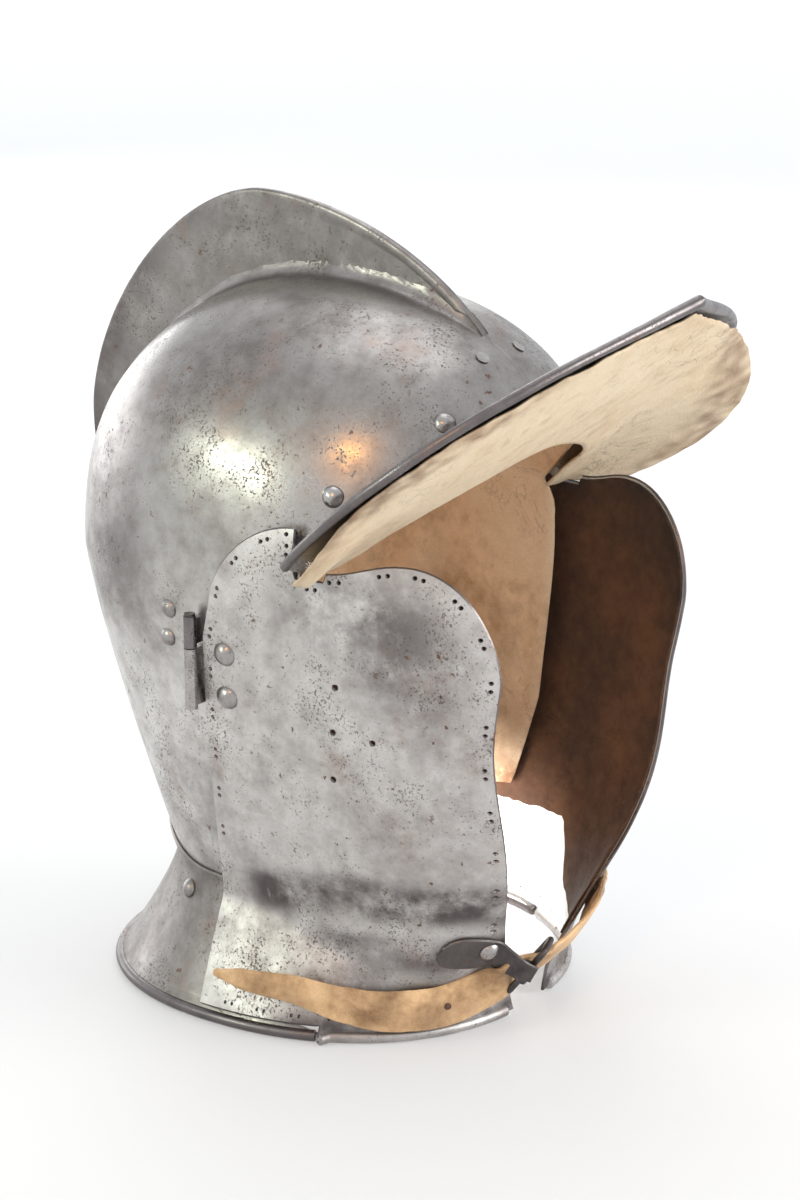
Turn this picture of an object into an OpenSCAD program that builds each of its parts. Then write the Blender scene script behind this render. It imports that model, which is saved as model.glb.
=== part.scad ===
// Burgonet: an open-faced steel helmet with a comb, a flared peak, two hinged
// cheek plates and a chin strap. It stands on its neck rim: Z is up, the face
// looks along -Y, and the origin is the middle of the rim, on the table.

/* [Skull] */
// Half the width of the skull
head_half_w = 86; // [80:1:92]
// Height of the widest level of the skull
waist_z = 170; // [165:1:175]
// Height of the crown, under the comb
crown_z = 271; // [266:1:276]
// Reach of the skull behind the middle of the rim
back_reach = 97.5; // [94:0.5:102]
// Reach of the skull in front of the middle of the rim
front_reach = 100; // [96:1:104]
// Thickness of the skull plate
skull_t = 1.6; // [1.2:0.1:2]

/* [Neck] */
// Height of the narrowest level
neck_z = 48; // [44:1:52]
// Half the width of the neck
neck_half_w = 62.5; // [60:0.5:66]
// Reach of the neck behind the middle of the rim
neck_back = 58; // [56:0.5:62]
// Half the width of the rim
rim_half_w = 86; // [82:1:90]
// Half the length of the rim
rim_half_l = 88.8; // [85:0.2:92]
// Thickness of the nape and cheek plates
plate_t = 1.4; // [1:0.1:1.6]

/* [Comb] */
// Top of the comb
comb_top_z = 300.3; // [290:0.1:310]
// Half the thickness of the comb
comb_half_t = 1.7; // [1.4:0.1:2.2]

/* [Cheek plates] */
// Offset of the cheek plate's outside from the skull's outside
cheek_gap = 4.3; // [4.2:0.1:4.6]
// Reach of the level curve at cheek height
cheek_reach = 158.5; // [155:0.5:161]
// Half the opening between the plates at the mouth
face_half_w = 64; // [60:1:68]

/* [Hinges] */
// Distance of each hinge axis from the middle
hinge_x = 90; // [89.5:0.1:91]
// Radius of the knuckles
knuckle_r = 2.4; // [2.2:0.1:2.5]
// Radius of the hinge pins
pin_r = 1.2; // [1:0.05:1.3]

/* [Chin strap] */
// Width of the leather strap
strap_w = 15; // [13:0.5:17]
// Thickness of the leather strap
strap_t = 1.6; // [1.4:0.1:2]

/* [Hidden] */

steel = "#8d8a88";
dark_iron = "#3a3634";
tan_leather = "#c9a678";
cream_leather = "#e2d0ae";
brown_leather = "#4a2f22";

seam_gap = 0.05;       // each skull half stops this far from the middle plane
oval = 2.2;            // exponent of the level curves: 2 is an ellipse
rim_drop = 3.1;        // from the rolled rim's outside to the plate inside it
flare_power = 1.3;
lap = 0.3;             // space between two plates that lie on each other
mid_y = 18.6;          // from the middle of the whole depth back to the rim's middle

// ---- small helpers ------------------------------------------------------
function clamp01(v) = min(1, max(0, v));
function smooth(v) = let (s = clamp01(v)) s * s * (3 - 2 * s);
function mix(a, b, k) = a + (b - a) * k;
function spow(v, e) = v < 0 ? -pow(-v, e) : pow(v, e);
function unit(v) = v / norm(v);
function flip_x(p) = [-p[0], p[1], p[2]];
function flat2(rows) = [for (r = rows) each r];
// Point on a Bezier curve with any number of control points
function bezier(c, t) = len(c) == 1 ? c[0]
    : bezier([for (i = [0:len(c) - 2]) mix(c[i], c[i + 1], t)], t);

// Closed sheet between two grids of points with the same rows and columns.
// outer is the side that a viewer sees with rows going up and columns to the right.
module sheet(outer, inner) {
    rows = len(outer);
    cols = len(outer[0]);
    n = rows * cols;
    function o(r, c) = r * cols + c;
    function i(r, c) = n + r * cols + c;
    skin = [for (r = [0:rows - 2], c = [0:cols - 2]) each [
        [o(r, c), o(r + 1, c), o(r + 1, c + 1)], [o(r, c), o(r + 1, c + 1), o(r, c + 1)],
        [i(r, c), i(r + 1, c + 1), i(r + 1, c)], [i(r, c), i(r, c + 1), i(r + 1, c + 1)]]];
    sides = [for (r = [0:rows - 2], c = [0, cols - 1])
        let (q = [o(r, c), i(r, c), i(r + 1, c), o(r + 1, c)])
        each (c == 0 ? [[q[0], q[1], q[2]], [q[0], q[2], q[3]]]
                     : [[q[0], q[2], q[1]], [q[0], q[3], q[2]]])];
    ends = [for (c = [0:cols - 2], r = [0, rows - 1])
        let (q = [o(r, c), o(r, c + 1), i(r, c + 1), i(r, c)])
        each (r == 0 ? [[q[0], q[1], q[2]], [q[0], q[2], q[3]]]
                     : [[q[0], q[2], q[1]], [q[0], q[3], q[2]]])];
    polyhedron(concat(flat2(outer), flat2(inner)), concat(skin, sides, ends));
}

// Moves a part from the rim's middle to the middle of the whole helmet's depth
module placed() translate([0, mid_y, 0]) children();

// Puts children at p with +Z along n
module on_surface(p, n)
    translate(p) rotate([0, acos(n[2] / norm(n)), atan2(n[1], n[0])]) children();

// Round-headed rivet: the head sits on z = 0 and the shank runs down
module domed_rivet(head_r, head_h, shank_r, shank_l) {
    ball_r = (head_r * head_r + head_h * head_h) / (2 * head_h);
    intersection() {
        translate([0, 0, head_h - ball_r]) sphere(r = ball_r, $fn = 48);
        translate([0, 0, -0.02]) cylinder(r = head_r + 1, h = head_h + 1, $fn = 48);
    }
    translate([0, 0, -shank_l]) cylinder(r = shank_r, h = shank_l + 0.3, $fn = 32);
}

module both_sides() {
    children();
    mirror([1, 0, 0]) children();
}

// ---- skull surface, right half: x < 0 -------------------------------------
// Level curve radii at height z; below the neck they flare out to the rim
function dome(z, power) = sqrt(max(0, 1 - pow(clamp01((z - waist_z) / (crown_z - waist_z)), power)));
function drop(z) = clamp01((waist_z - z) / (waist_z - neck_z));
function flare(z) = pow(clamp01((neck_z - z) / neck_z), flare_power);
function skull_w(z) = z >= waist_z ? head_half_w * dome(z, 2.4)
    : head_half_w - (head_half_w - neck_half_w) * pow(drop(z), 1.35)
      + (rim_half_w - rim_drop - neck_half_w) * flare(z);
function skull_b(z) = z >= waist_z ? back_reach * dome(z, 2.4)
    : back_reach - (back_reach - neck_back) * pow(drop(z), 1.2)
      + (rim_half_l - rim_drop - neck_back) * flare(z);
function skull_f(z) = mix(front_reach * dome(z, 3.6) + 40 * smooth((200 - z) / 50),
    rim_half_l - rim_drop, pow(clamp01((neck_z - z) / neck_z), 0.6));
// Point at height z; angle -90 is the middle of the back, 90 the middle of the front
function skull_at(z, a) = [-skull_w(z) * spow(cos(a), 2 / oval),
    (a < 0 ? skull_b(z) : -skull_f(z)) * spow(abs(sin(a)), 2 / oval), z];
function skull_out(z, a) = let (dz = min(0.5, (crown_z - z) / 3),
    across = skull_at(z, a + 0.5) - skull_at(z, a - 0.5),
    up = skull_at(z + dz, a) - skull_at(z - dz, a)) unit(cross(across, up));
function skull_off(z, a, d) = skull_at(z, a) + skull_out(z, a) * d;
// Angle of the point with the given y
function back_angle(z, y) = -asin(pow(clamp01(y / skull_b(z)), oval / 2));
function front_angle(z, y) = asin(pow(clamp01(-y / skull_f(z)), oval / 2));
function skull_angle(z, y) = y > 0 ? back_angle(z, y) : front_angle(z, y);

// Edge of the face opening: f runs from 0 at the temple to 1 in the middle of the brow
temple_z = 186;
brow_z = 227;
temple_a = 21.4;
function brow_a(f) = mix(temple_a, 90, f);
function brow_height(f) = mix(brow_z, temple_z, pow(1 - f, 1.754));
function edge_angle(z) = z >= brow_z ? 90
    : z >= temple_z ? mix(temple_a, 90, 1 - pow(1 - (z - temple_z) / (brow_z - temple_z), 0.57))
    : front_angle(z, -42 + 22 * pow(clamp01((95 - z) / 47), 2) + 16 * clamp01((neck_z - z) / 20));

// ---- comb -------------------------------------------------------------------
comb_c = [35, 205];            // centre of the comb's outline, as y and z
comb_back = 85;
comb_front = 124;
comb_low = 95;
// Reach of the outline from its centre in direction [c, s]
function comb_reach(c, s) = let (
    a = c > 0 ? comb_back : comb_front,
    b = s > 0 ? comb_top_z - comb_c[1] : comb_low,
    e = s < 0 ? 2 : c > 0 ? 1.7 : 1.9)
    pow(pow(abs(c) / a, e) + pow(abs(s) / b, e), -1 / e);
skull_rows = concat([for (z = [30, 36, 42, 48, 54]) z],
    [for (z = [62:14:174]) z], [for (z = [182, 187, 193, 199, 205, 211, 217, 222, 225.5]) z],
    [for (s = [36:6:84]) waist_z + (crown_z - waist_z) * sin(s)], [crown_z - 0.002]);
skull_cols = 22;

// Keeps a point on the right side of the seam
function off_seam(p) = [min(p[0], -seam_gap), p[1], p[2]];

module skull_half_plate() {
    side = function (d) [for (z = skull_rows) [for (k = [0:skull_cols])
        off_seam(skull_off(z, mix(-90, edge_angle(z), k / skull_cols), d))]];
    sheet(side(0), side(-skull_t));
}

// Half of the comb: its outline less the skull's middle section
module comb_half() translate([-comb_half_t, 0, 0]) rotate([90, 0, 90])
    linear_extrude(comb_half_t - seam_gap) difference() {
        polygon([for (t = [-60:4:180]) comb_c + [cos(t), sin(t)] * comb_reach(cos(t), sin(t))]);
        section = function (z, a) let (p = skull_off(z, a, -skull_t / 2)) [p[1], p[2]];
        rise = [for (t = [0:5:85]) waist_z + (crown_z - waist_z) * sin(t)];
        polygon(concat([for (z = [110:12:158]) section(z, -90)], [for (z = rise) section(z, -90)],
            [for (i = [len(rise) - 1:-1:8]) section(rise[i], 90)], [[-110, brow_z - 6], [-110, 110]]));
    }

// ---- rivet and hinge places --------------------------------------------------
// Each place is [z, y] on the right half of the skull
peak_rivet_at = [[209, -51], [233, -77]];
skull_leaf_rivet_at = [[160, 14], [148.5, 16]];
nape_rivet_at = [[40, 26]];
seam_rivet_at = [[250.7, -73.3]];
leaf_z0 = 126;                 // bottom of the lower knuckle
leaf_zm = 149;                 // between the two knuckles
leaf_z1 = 161;                 // top of the upper knuckle
small_rivet_r = 4;
big_rivet_r = 4.6;
shank_r = 1.4;
hole_r = 1.45;

module at_skull(z, y, d = 0) {
    a = abs(y) > skull_f(z) * 0.999 ? 90 : skull_angle(z, y);
    on_surface(skull_off(z, a, d), skull_out(z, a)) children();
}

module skull_holes() {
    for (p = concat(peak_rivet_at, skull_leaf_rivet_at, nape_rivet_at, seam_rivet_at))
        at_skull(p[0], p[1]) translate([0, 0, -4]) cylinder(r = hole_r, h = 8, $fn = 32);
    // slot that the upper knuckle's web passes through
    translate([-hinge_x, -1.7, leaf_zm + 0.6]) cube([10, 3.4, leaf_z1 - leaf_zm - 0.6]);
}

module skull_half() difference() {
    union() {
        skull_half_plate();
        comb_half();
    }
    skull_holes();
}

module skull_right() color(steel) placed() skull_half();
module skull_left() color(steel) placed() mirror([1, 0, 0]) skull_half();

// Strip inside the seam, in front of the comb, that ties the two halves together
module seam_tab() color(steel) placed() {
    zs = [247, 250, 253, 256, 258.5];
    as = [64, 73, 82, 90];
    row = function (z, d)
        [for (a = as) skull_off(z, a, d), for (k = [2:-1:0]) flip_x(skull_off(z, as[k], d))];
    difference() {
        sheet([for (z = zs) row(z, -skull_t - lap)], [for (z = zs) row(z, -skull_t - lap - 1.2)]);
        both_sides() for (p = seam_rivet_at)
            at_skull(p[0], p[1]) translate([0, 0, -5]) cylinder(r = 1.55, h = 6, $fn = 32);
    }
}

// Flush rivets, filed level with the outside
module seam_rivets() color(steel) placed() both_sides() for (p = seam_rivet_at)
    at_skull(p[0], p[1]) {
        translate([0, 0, 0.1]) cylinder(r = 2.6, h = 0.25, $fn = 40);
        translate([0, 0, -skull_t - 1.8]) cylinder(r = 1.4, h = skull_t + 2, $fn = 32);
    }

// ---- peak --------------------------------------------------------------------
peak_t = 1.4;
flange_gap = 0.9;              // from the skull's inside to the peak's flange
peak_bead = 1.1;               // extra half thickness of the rolled edge
peak_start = 0.055;            // brow parameter where the peak begins
// Outer edge on the left side, from the middle of the front to the temple
peak_edge = [[0, -156, 280], [39, -139.5, 266], [114, -136, 261.5], [116, -79, 216.5], [97, -48, 189]];
function peak_f(g) = mix(1, peak_start, abs(g));
// Root point, under the skull's edge; g runs from -1 at the left temple to 1 at the right
function peak_root(g) =
    let (f = peak_f(g), p = skull_off(brow_height(f) - 5.2, min(90, brow_a(f)), -skull_t - 0.8))
    g > 0 ? p : flip_x(p);
function peak_tip(g) = let (p = bezier(peak_edge, abs(g))) g > 0 ? flip_x(p) : p;
// Surface point: k runs from 0 at the root to 1 at the outer edge, with a slight hollow
function peak_at(g, k) = mix(peak_root(g), peak_tip(g), k) - [0, 0, 6 * k * (1 - k)];
function peak_up(g, k) = let (
    out = peak_at(g, min(1, k + 0.05)) - peak_at(g, max(0, k - 0.05)),
    along = peak_at(min(1, g + 0.03), k) - peak_at(max(-1, g - 0.03), k)) unit(cross(along, out));
function flange_at(g, rise, d) = let (f = peak_f(g),
    p = skull_off(brow_height(f) + rise, min(90, brow_a(f)), -skull_t - d)) g > 0 ? p : flip_x(p);
peak_cols = 15;
peak_g = [for (i = [-peak_cols:peak_cols]) i / peak_cols];
peak_rows = [[0.06, 0], [0.25, 0], [0.5, 0], [0.75, 0], [0.93, 0], [0.96, 1], [1, 1]];

module peak() color(steel) placed() difference() {
    // rises over the skull's edge: the flange stays inside until it is below that edge
    flange = [18, 10, 3, -2.4];
    sheet(concat(
        [for (f = flange) [for (g = peak_g) flange_at(g, f, flange_gap)]],
        [for (r = peak_rows) [for (g = peak_g)
            peak_at(g, r[0]) + peak_up(g, r[0]) * (peak_t / 2 + peak_bead * r[1])]]), concat(
        [for (f = flange) [for (g = peak_g) flange_at(g, f, flange_gap + peak_t)]],
        [for (r = peak_rows) [for (g = peak_g)
            peak_at(g, r[0]) - peak_up(g, r[0]) * (peak_t / 2 + peak_bead * r[1])]]));
    both_sides() for (p = peak_rivet_at)
        at_skull(p[0], p[1]) translate([0, 0, -5]) cylinder(r = hole_r, h = 8, $fn = 32);
}

module peak_rivets() color(steel) placed() both_sides() for (p = peak_rivet_at)
    at_skull(p[0], p[1], 0.02) domed_rivet(small_rivet_r, 2.2, shank_r, skull_t + peak_t + 1);

// Leather under the peak
module peak_lining() color(cream_leather) placed() {
    gs = [for (g = peak_g) g * 0.985];
    rows = [0.1, 0.3, 0.5, 0.7, 0.9];
    gap = peak_t / 2 + 0.2;
    sheet([for (k = rows) [for (g = gs) peak_at(g, k) - peak_up(g, k) * gap]],
          [for (k = rows) [for (g = gs) peak_at(g, k) - peak_up(g, k) * (gap + 1.3)]]);
}

// Leather inside the skull, sewn as one cap
lining_in = skull_t + 2.7;
lining_t = 2;
module skull_lining() color(tan_leather) placed() {
    zs = concat([for (z = [60:15:180]) z],
        [187, 194, 201, 208, 214, 220, 225, 230, 238, 246, 253, 259, 264, 267.5]);
    cols = 15;
    // side 1 is the right half; the front seam stays 1.2 mm open
    edge = function (z) z >= brow_z ? 89.3 : edge_angle(z - 2) - 1;
    point = function (z, k, d) let (a = mix(edge(z), -90, k / cols)) skull_off(z, a, -d);
    row = function (z, d)
        [for (k = [0:cols]) flip_x(point(z, k, d)), for (k = [cols - 1:-1:0]) point(z, k, d)];
    sheet([for (z = zs) row(z, lining_in)], [for (z = zs) row(z, lining_in + lining_t)]);
}

// ---- nape plate ----------------------------------------------------------------
nape_gap = 0.15;
// Upper edge: higher at the back than at the sides
function nape_top(a) = mix(50, 61, smooth((-a - 15) / 60));
// The rolled rim runs further forward than the plate above it
function nape_end(k) = k < 0.12 ? 26 : 5;
nape_k = [0, 0.02, 0.055, 0.085, 0.25, 0.42, 0.58, 0.72, 0.85, 1];
nape_cols = 21;
// Extra thickness of the rolled rim in each row, outside and inside
nape_bead = [0.8, 1.5, 1.5, 0.1, 0, 0, 0, 0, 0, 0];

function level(p, z) = [p[0], p[1], z];

module nape_plate() color(steel) placed() difference() {
    rows = [for (j = [0:len(nape_k) - 1]) let (k = nape_k[j]) [for (c = [-nape_cols:nape_cols]) let (
        a = mix(-90, nape_end(k), abs(c) / nape_cols),
        z = nape_top(a) * k,
        o = level(skull_off(z, a, nape_gap + plate_t + nape_bead[j]), z),
        i = level(skull_off(z, a, nape_gap - nape_bead[j]), z))
        c > 0 ? [o, i] : [flip_x(o), flip_x(i)]]];
    sheet([for (r = rows) [for (p = r) p[0]]], [for (r = rows) [for (p = r) p[1]]]);
    both_sides() for (p = nape_rivet_at)
        at_skull(p[0], p[1]) translate([0, 0, -4]) cylinder(r = hole_r, h = 8, $fn = 32);
}

module nape_rivets() color(steel) placed() both_sides() for (p = nape_rivet_at)
    at_skull(p[0], p[1], nape_gap + plate_t + 0.2)
        domed_rivet(small_rivet_r - 0.4, 2, shank_r, skull_t + plate_t + 0.6);

// ---- cheek plate surface, right side --------------------------------------------
function cheek_w(z) = skull_w(max(z, neck_z)) + cheek_gap;
function cheek_d(z) = cheek_reach - (z > 148 ? 0.0036 * (z - 148) * (z - 148)
    : 71 * pow(smooth((148 - z) / 150), 1.2));
// Exponent of the level curves: squarer towards the neck
function cheek_e(z) = oval + 0.6 * smooth((130 - z) / 85);
// Front edge and rear edge of the plate at height z
function front_x(z) = face_half_w - 50.4 * pow(clamp01((150 - z) / 138), 2);
function front_y(z) = cheek_by_x(min(z, 150), front_x(z))[1];
function rear_y(z) = 5 - 11 * clamp01((z - neck_z) / 119);
// Point with the given y at height z
function cheek_pt(z, y) = let (e = cheek_e(z))
    [-cheek_w(z) * pow(max(0, 1 - pow(abs(y) / cheek_d(z), e)), 1 / e), y, z];
// Point at the given distance x from the middle plane
function cheek_by_x(z, x) = let (e = cheek_e(z))
    [-x, -cheek_d(z) * pow(max(0, 1 - pow(x / cheek_w(z), e)), 1 / e), z];
function cheek_out(z, y) = let (
    up = cheek_pt(z + 0.5, y) - cheek_pt(z - 0.5, y),
    back = cheek_pt(z, y + 0.4) - cheek_pt(z, y - 0.4)) unit(cross(up, back));
// Crease where the plate turns out into the neck flange
function crease_z(y) = 45 - 29 * pow(abs(min(y, 0)) / 84, 1.6);

// Top outline: ear lobe, notch for the end of the peak, brow run, round front corner
lobe_y = -43.5;
notch_y = -57;
notch_z = 181.5;
corner_y = -85;
function top_z(y) = y > lobe_y ? 154 + 45 * sqrt(max(0, 1 - pow((y - lobe_y) / 39, 2)))
    : y > notch_y ? notch_z
    : y > corner_y ? mix(notch_z + 3, 189.5, smooth((notch_y - y) / 26))
    : 149 + 40.5 * sqrt(max(0, 1 - pow((corner_y - y) / (corner_y - front_y(150)), 2)));

// Columns run from the rear edge (u = 0) to the front edge (u = 1)
cheek_u = [0, 0.02, 0.06, 0.11, 0.17, 0.24, 0.31, 0.338, 0.35, 0.4, 0.45, 0.5, 0.515, 0.57, 0.62, 0.67, 0.74,
           0.8, 0.85, 0.9, 0.94, 0.97, 0.99, 1];
plate_k = [0, 0.06, 0.14, 0.24, 0.35, 0.46, 0.57, 0.67, 0.77, 0.86, 0.94, 1];
// Height of a column's top, from its y at the level of the cheek
function col_y(z, u) = mix(rear_y(z), front_y(z), u);
function plate_z(u, k) = let (y = col_y(160, u)) mix(crease_z(col_y(30, u)), top_z(y), k);

rear_grow = cheek_gap + 0.4;   // the flange's reach outside the skull's line, at the rear
front_grow = 0.6;              // and at the front
flange_power = 0.9;
// Flange from the crease to the rim. Its rear part overlaps the nape plate and ends
// above that plate's roll; its front part has a roll of its own and rests on the table.
overlap_u = 0.51;              // where the rear part ends
function rim_pt(u, grow) = let (y = mix(3, -rim_half_l + 0.4, u),
    s = pow(max(0, 1 - pow(abs(y) / rim_half_l, oval)), 1 / oval))
    [-(rim_half_w - rim_drop + grow) * s, y * (1 + grow / 90), 0];
function flange_pt(u, k) = let (
    c = cheek_pt(plate_z(u, 0), col_y(plate_z(u, 0), u)),
    r = rim_pt(u, u < overlap_u ? rear_grow : front_grow),
    low = u < overlap_u ? 7.6 : 0, z = mix(low, c[2], k),
    h = pow(max(0, 1 - z / c[2]), flange_power), q = mix(c, r, h)) [q[0], q[1], z];
flange_k = [0, 0.06, 0.18, 0.3, 0.5, 0.7, 0.86];
// Roll: extra thickness at the lowest flange rows
roll = [0.9, 1.6, 1.5, 0.1, 0, 0, 0];

function cheek_grid(d_out, d_in) = concat(
    [for (j = [0:len(flange_k) - 1]) [for (u = cheek_u) let (
        k = u < overlap_u ? flange_k[j] : flange_k[j] * (j < 4 ? 0.42 * 30 / max(12, plate_z(u, 0)) : 1),
        p = flange_pt(u, k),
        along = flange_pt(min(1, u + 0.01), k) - flange_pt(max(0, u - 0.01), k),
        n = unit([-along[1], along[0], 0] * (along[1] < 0 ? -1 : 1)),
        bead = u < overlap_u ? 0 : roll[j])
        [p + n * (d_out + bead), p + n * (d_in - bead)]]],
    [for (k = plate_k) [for (u = cheek_u) let (z = plate_z(u, k), y = col_y(z, u), n = cheek_out(z, y))
        [cheek_pt(z, y) + n * d_out, cheek_pt(z, y) + n * d_in]]]);

cheek_rivet_at = [[148.3, -13.7], [131, -12.5]];   // [z, y] of the hinge rivets
chape_at = [36, -94];                        // [z, y] of the buckle's rivet

module at_cheek(z, y, d = 0)
    on_surface(cheek_pt(z, y) + cheek_out(z, y) * d, cheek_out(z, y)) children();

module cheek_plate() difference() {
    g = cheek_grid(0, -plate_t);
    sheet([for (r = g) [for (p = r) p[0]]], [for (r = g) [for (p = r) p[1]]]);
    for (p = concat(cheek_rivet_at, [chape_at]))
        at_cheek(p[0], p[1]) translate([0, 0, -4]) cylinder(r = hole_r, h = 8, $fn = 32);
}

module cheek_plate_right() color(steel) placed() cheek_plate();
module cheek_plate_left() color(steel) placed() mirror([1, 0, 0]) cheek_plate();

// Leather inside the cheek plate, in front of the hinge leaf
module cheek_lining() {
    us = [0.2, 0.26, 0.3, 0.338, 0.35, 0.4, 0.45, 0.5, 0.58, 0.66, 0.74, 0.81, 0.88, 0.94, 0.98];
    ks = [0, 0.07, 0.16, 0.26, 0.37, 0.48, 0.58, 0.68, 0.78, 0.87, 0.94, 0.985];
    // lower edge of the leather: it leaves the bare steel of the neck free at the side
    function low(y) = mix(21, 52, smooth((y + 82) / 20));
    function point(u, k, d) = let (
        z = mix(max(plate_z(u, 0.03), low(col_y(40, u))), plate_z(u, 1), k),
        y = col_y(z, u)) cheek_pt(z, y) - cheek_out(z, y) * d;
    sheet([for (k = ks) [for (u = us) point(u, k, plate_t + lap)]],
          [for (k = ks) [for (u = us) point(u, k, plate_t + lap + 1.2)]]);
}

module cheek_lining_right() color(brown_leather) placed() cheek_lining();
module cheek_lining_left() color(brown_leather) placed() mirror([1, 0, 0]) cheek_lining();

// ---- hinges ---------------------------------------------------------------------
// Upper knuckle and leaf: the leaf is riveted inside the skull
module skull_hinge_leaf() difference() {
    union() {
        translate([-hinge_x, 0, leaf_zm + 0.2])
            cylinder(r = knuckle_r, h = leaf_z1 - leaf_zm - 0.2, $fn = 48);
        translate([-hinge_x + 1.5, -1.2, leaf_zm + 1.2]) cube([6.4, 2.4, leaf_z1 - leaf_zm - 2.4]);
        zs = [142, 148, 153, 158, 165];
        ys = [24, 18, 12, 6, -1.5];
        sheet([for (z = zs) [for (y = ys) skull_off(z, skull_angle(z, y), -skull_t - lap)]],
              [for (z = zs) [for (y = ys) skull_off(z, skull_angle(z, y), -skull_t - lap - 1.2)]]);
    }
    translate([-hinge_x, 0, leaf_zm - 1]) cylinder(r = pin_r + 0.03, h = 20, $fn = 48);
    for (p = skull_leaf_rivet_at)
        at_skull(p[0], p[1]) translate([0, 0, -5]) cylinder(r = hole_r, h = 8, $fn = 32);
}

// Lower knuckle and leaf: the leaf is riveted inside the cheek plate
module cheek_hinge_leaf() difference() {
    union() {
        translate([-hinge_x, 0, leaf_z0]) cylinder(r = knuckle_r, h = leaf_zm - leaf_z0 - 0.2, $fn = 48);
        // web between knuckle and leaf, in steps: [from, to, length]
        for (w = [[1, 6, 6.2], [5.9, 12, 5.1], [11.9, 22.5, 3.5]])
            translate([-hinge_x + 1.5, -1.2, leaf_z0 + w[0]]) cube([w[2], 2.4, w[1] - w[0]]);
        zs = [leaf_z0 + 1, 132, 138, 143, leaf_zm - 1];
        ys = [1.2, -4, -10, -16, -21];
        leaf = function (d) [for (z = zs) [for (y = ys) cheek_pt(z, y) - cheek_out(z, y) * d]];
        sheet(leaf(plate_t + lap), leaf(plate_t + lap + 1));
        // ear that carries the upper rivet
        ear_zs = [leaf_zm - 2, leaf_zm + 3, leaf_zm + 6];
        ear = function (d)
            [for (z = ear_zs) [for (y = [-7, -12, -17, -21]) cheek_pt(z, y) - cheek_out(z, y) * d]];
        sheet(ear(plate_t + lap), ear(plate_t + lap + 1));
    }
    translate([-hinge_x, 0, leaf_z0 - 1]) cylinder(r = pin_r + 0.05, h = 30, $fn = 48);
    for (p = cheek_rivet_at)
        at_cheek(p[0], p[1]) translate([0, 0, -5]) cylinder(r = hole_r, h = 8, $fn = 32);
}

module hinge_pin() {
    translate([-hinge_x, 0, leaf_z0 - 0.4]) cylinder(r = pin_r, h = leaf_z1 - leaf_z0 + 0.8, $fn = 48);
    translate([-hinge_x, 0, leaf_z1 + 0.1]) cylinder(r = knuckle_r - 0.4, h = 0.9, $fn = 48);
}

module skull_hinge_leaf_right() color(steel) placed() skull_hinge_leaf();
module skull_hinge_leaf_left() color(steel) placed() mirror([1, 0, 0]) skull_hinge_leaf();
module cheek_hinge_leaf_right() color(steel) placed() cheek_hinge_leaf();
module cheek_hinge_leaf_left() color(steel) placed() mirror([1, 0, 0]) cheek_hinge_leaf();
module hinge_pin_right() color(steel) placed() hinge_pin();
module hinge_pin_left() color(steel) placed() mirror([1, 0, 0]) hinge_pin();

module skull_hinge_rivets() color(steel) placed() both_sides() for (p = skull_leaf_rivet_at)
    at_skull(p[0], p[1], 0.02) domed_rivet(small_rivet_r - 0.4, 2, shank_r, skull_t + 1.2);

module cheek_hinge_rivets() for (p = cheek_rivet_at)
    at_cheek(p[0], p[1], 0.02) domed_rivet(big_rivet_r, 2.4, shank_r, plate_t + lap + 0.9);

module cheek_hinge_rivets_right() color(steel) placed() cheek_hinge_rivets();
module cheek_hinge_rivets_left() color(steel) placed() mirror([1, 0, 0]) cheek_hinge_rivets();

// ---- buckle and strap --------------------------------------------------------------
// The bar of the ring lies just in front of the right plate's lower front corner
bar_at = [-24.1, -102.7, 24.7];
bar_dir = unit([0.15, -0.6, 0.8]);
ring_wire_r = 1.3;
ring_len = 23;                 // along the bar
ring_reach = 12;               // across, away from the bar
ring_out = unit([0.943, 0.327, 0.062]);   // from the bar to the free side

bar_y = unit(cross(bar_dir, ring_out));
bar_x = cross(bar_y, bar_dir);
function bar_pt(p) = bar_at + bar_x * p[0] + bar_y * p[1] + bar_dir * p[2];

// Puts children so that +Z runs along the bar and +X to the ring's free side
module at_bar()
    multmatrix([for (i = [0:2]) [bar_x[i], bar_y[i], bar_dir[i], bar_at[i]]]) children();

chape_t = 1.2;
chape_lift = 0.25;             // from the plate up to the strip

// Bent iron strip: its eye holds the ring's bar and its tongue is riveted to the plate
module buckle_chape() color(dark_iron) placed() difference() {
    union() {
        at_bar() translate([0, 0, -4]) cylinder(r = 2.7, h = 8, $fn = 48);
        // the tongue follows the plate's surface: [x, middle height, half width, lift]
        tongue = [[50, 36.5, 4, 0], [46, 36.3, 6.2, 0], [42, 35.7, 6.2, 0], [38, 35, 6, 0],
                  [33, 33.8, 5, 0], [29.8, 33, 4.4, 4.6], [26.8, 32.3, 3.8, 9], [22.5, 30.5, 3.4, 11.2]];
        grid = function (d) [for (v = [-1, 0, 1]) [for (t = tongue)
            let (p = cheek_by_x(t[1] + v * t[2], t[0])) p + cheek_out(p[2], p[1]) * (t[3] + d)]];
        sheet(grid(chape_lift + chape_t), grid(chape_lift));
    }
    at_bar() translate([0, 0, -6]) cylinder(r = ring_wire_r + 0.06, h = 12, $fn = 48);
    at_cheek(chape_at[0], chape_at[1]) translate([0, 0, -4]) cylinder(r = hole_r, h = 9, $fn = 32);
}

module chape_rivet() color(steel) placed()
    at_cheek(chape_at[0], chape_at[1], chape_lift + chape_t + 0.25)
        domed_rivet(small_rivet_r, 2.1, shank_r, plate_t + chape_t + 0.45);

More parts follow.
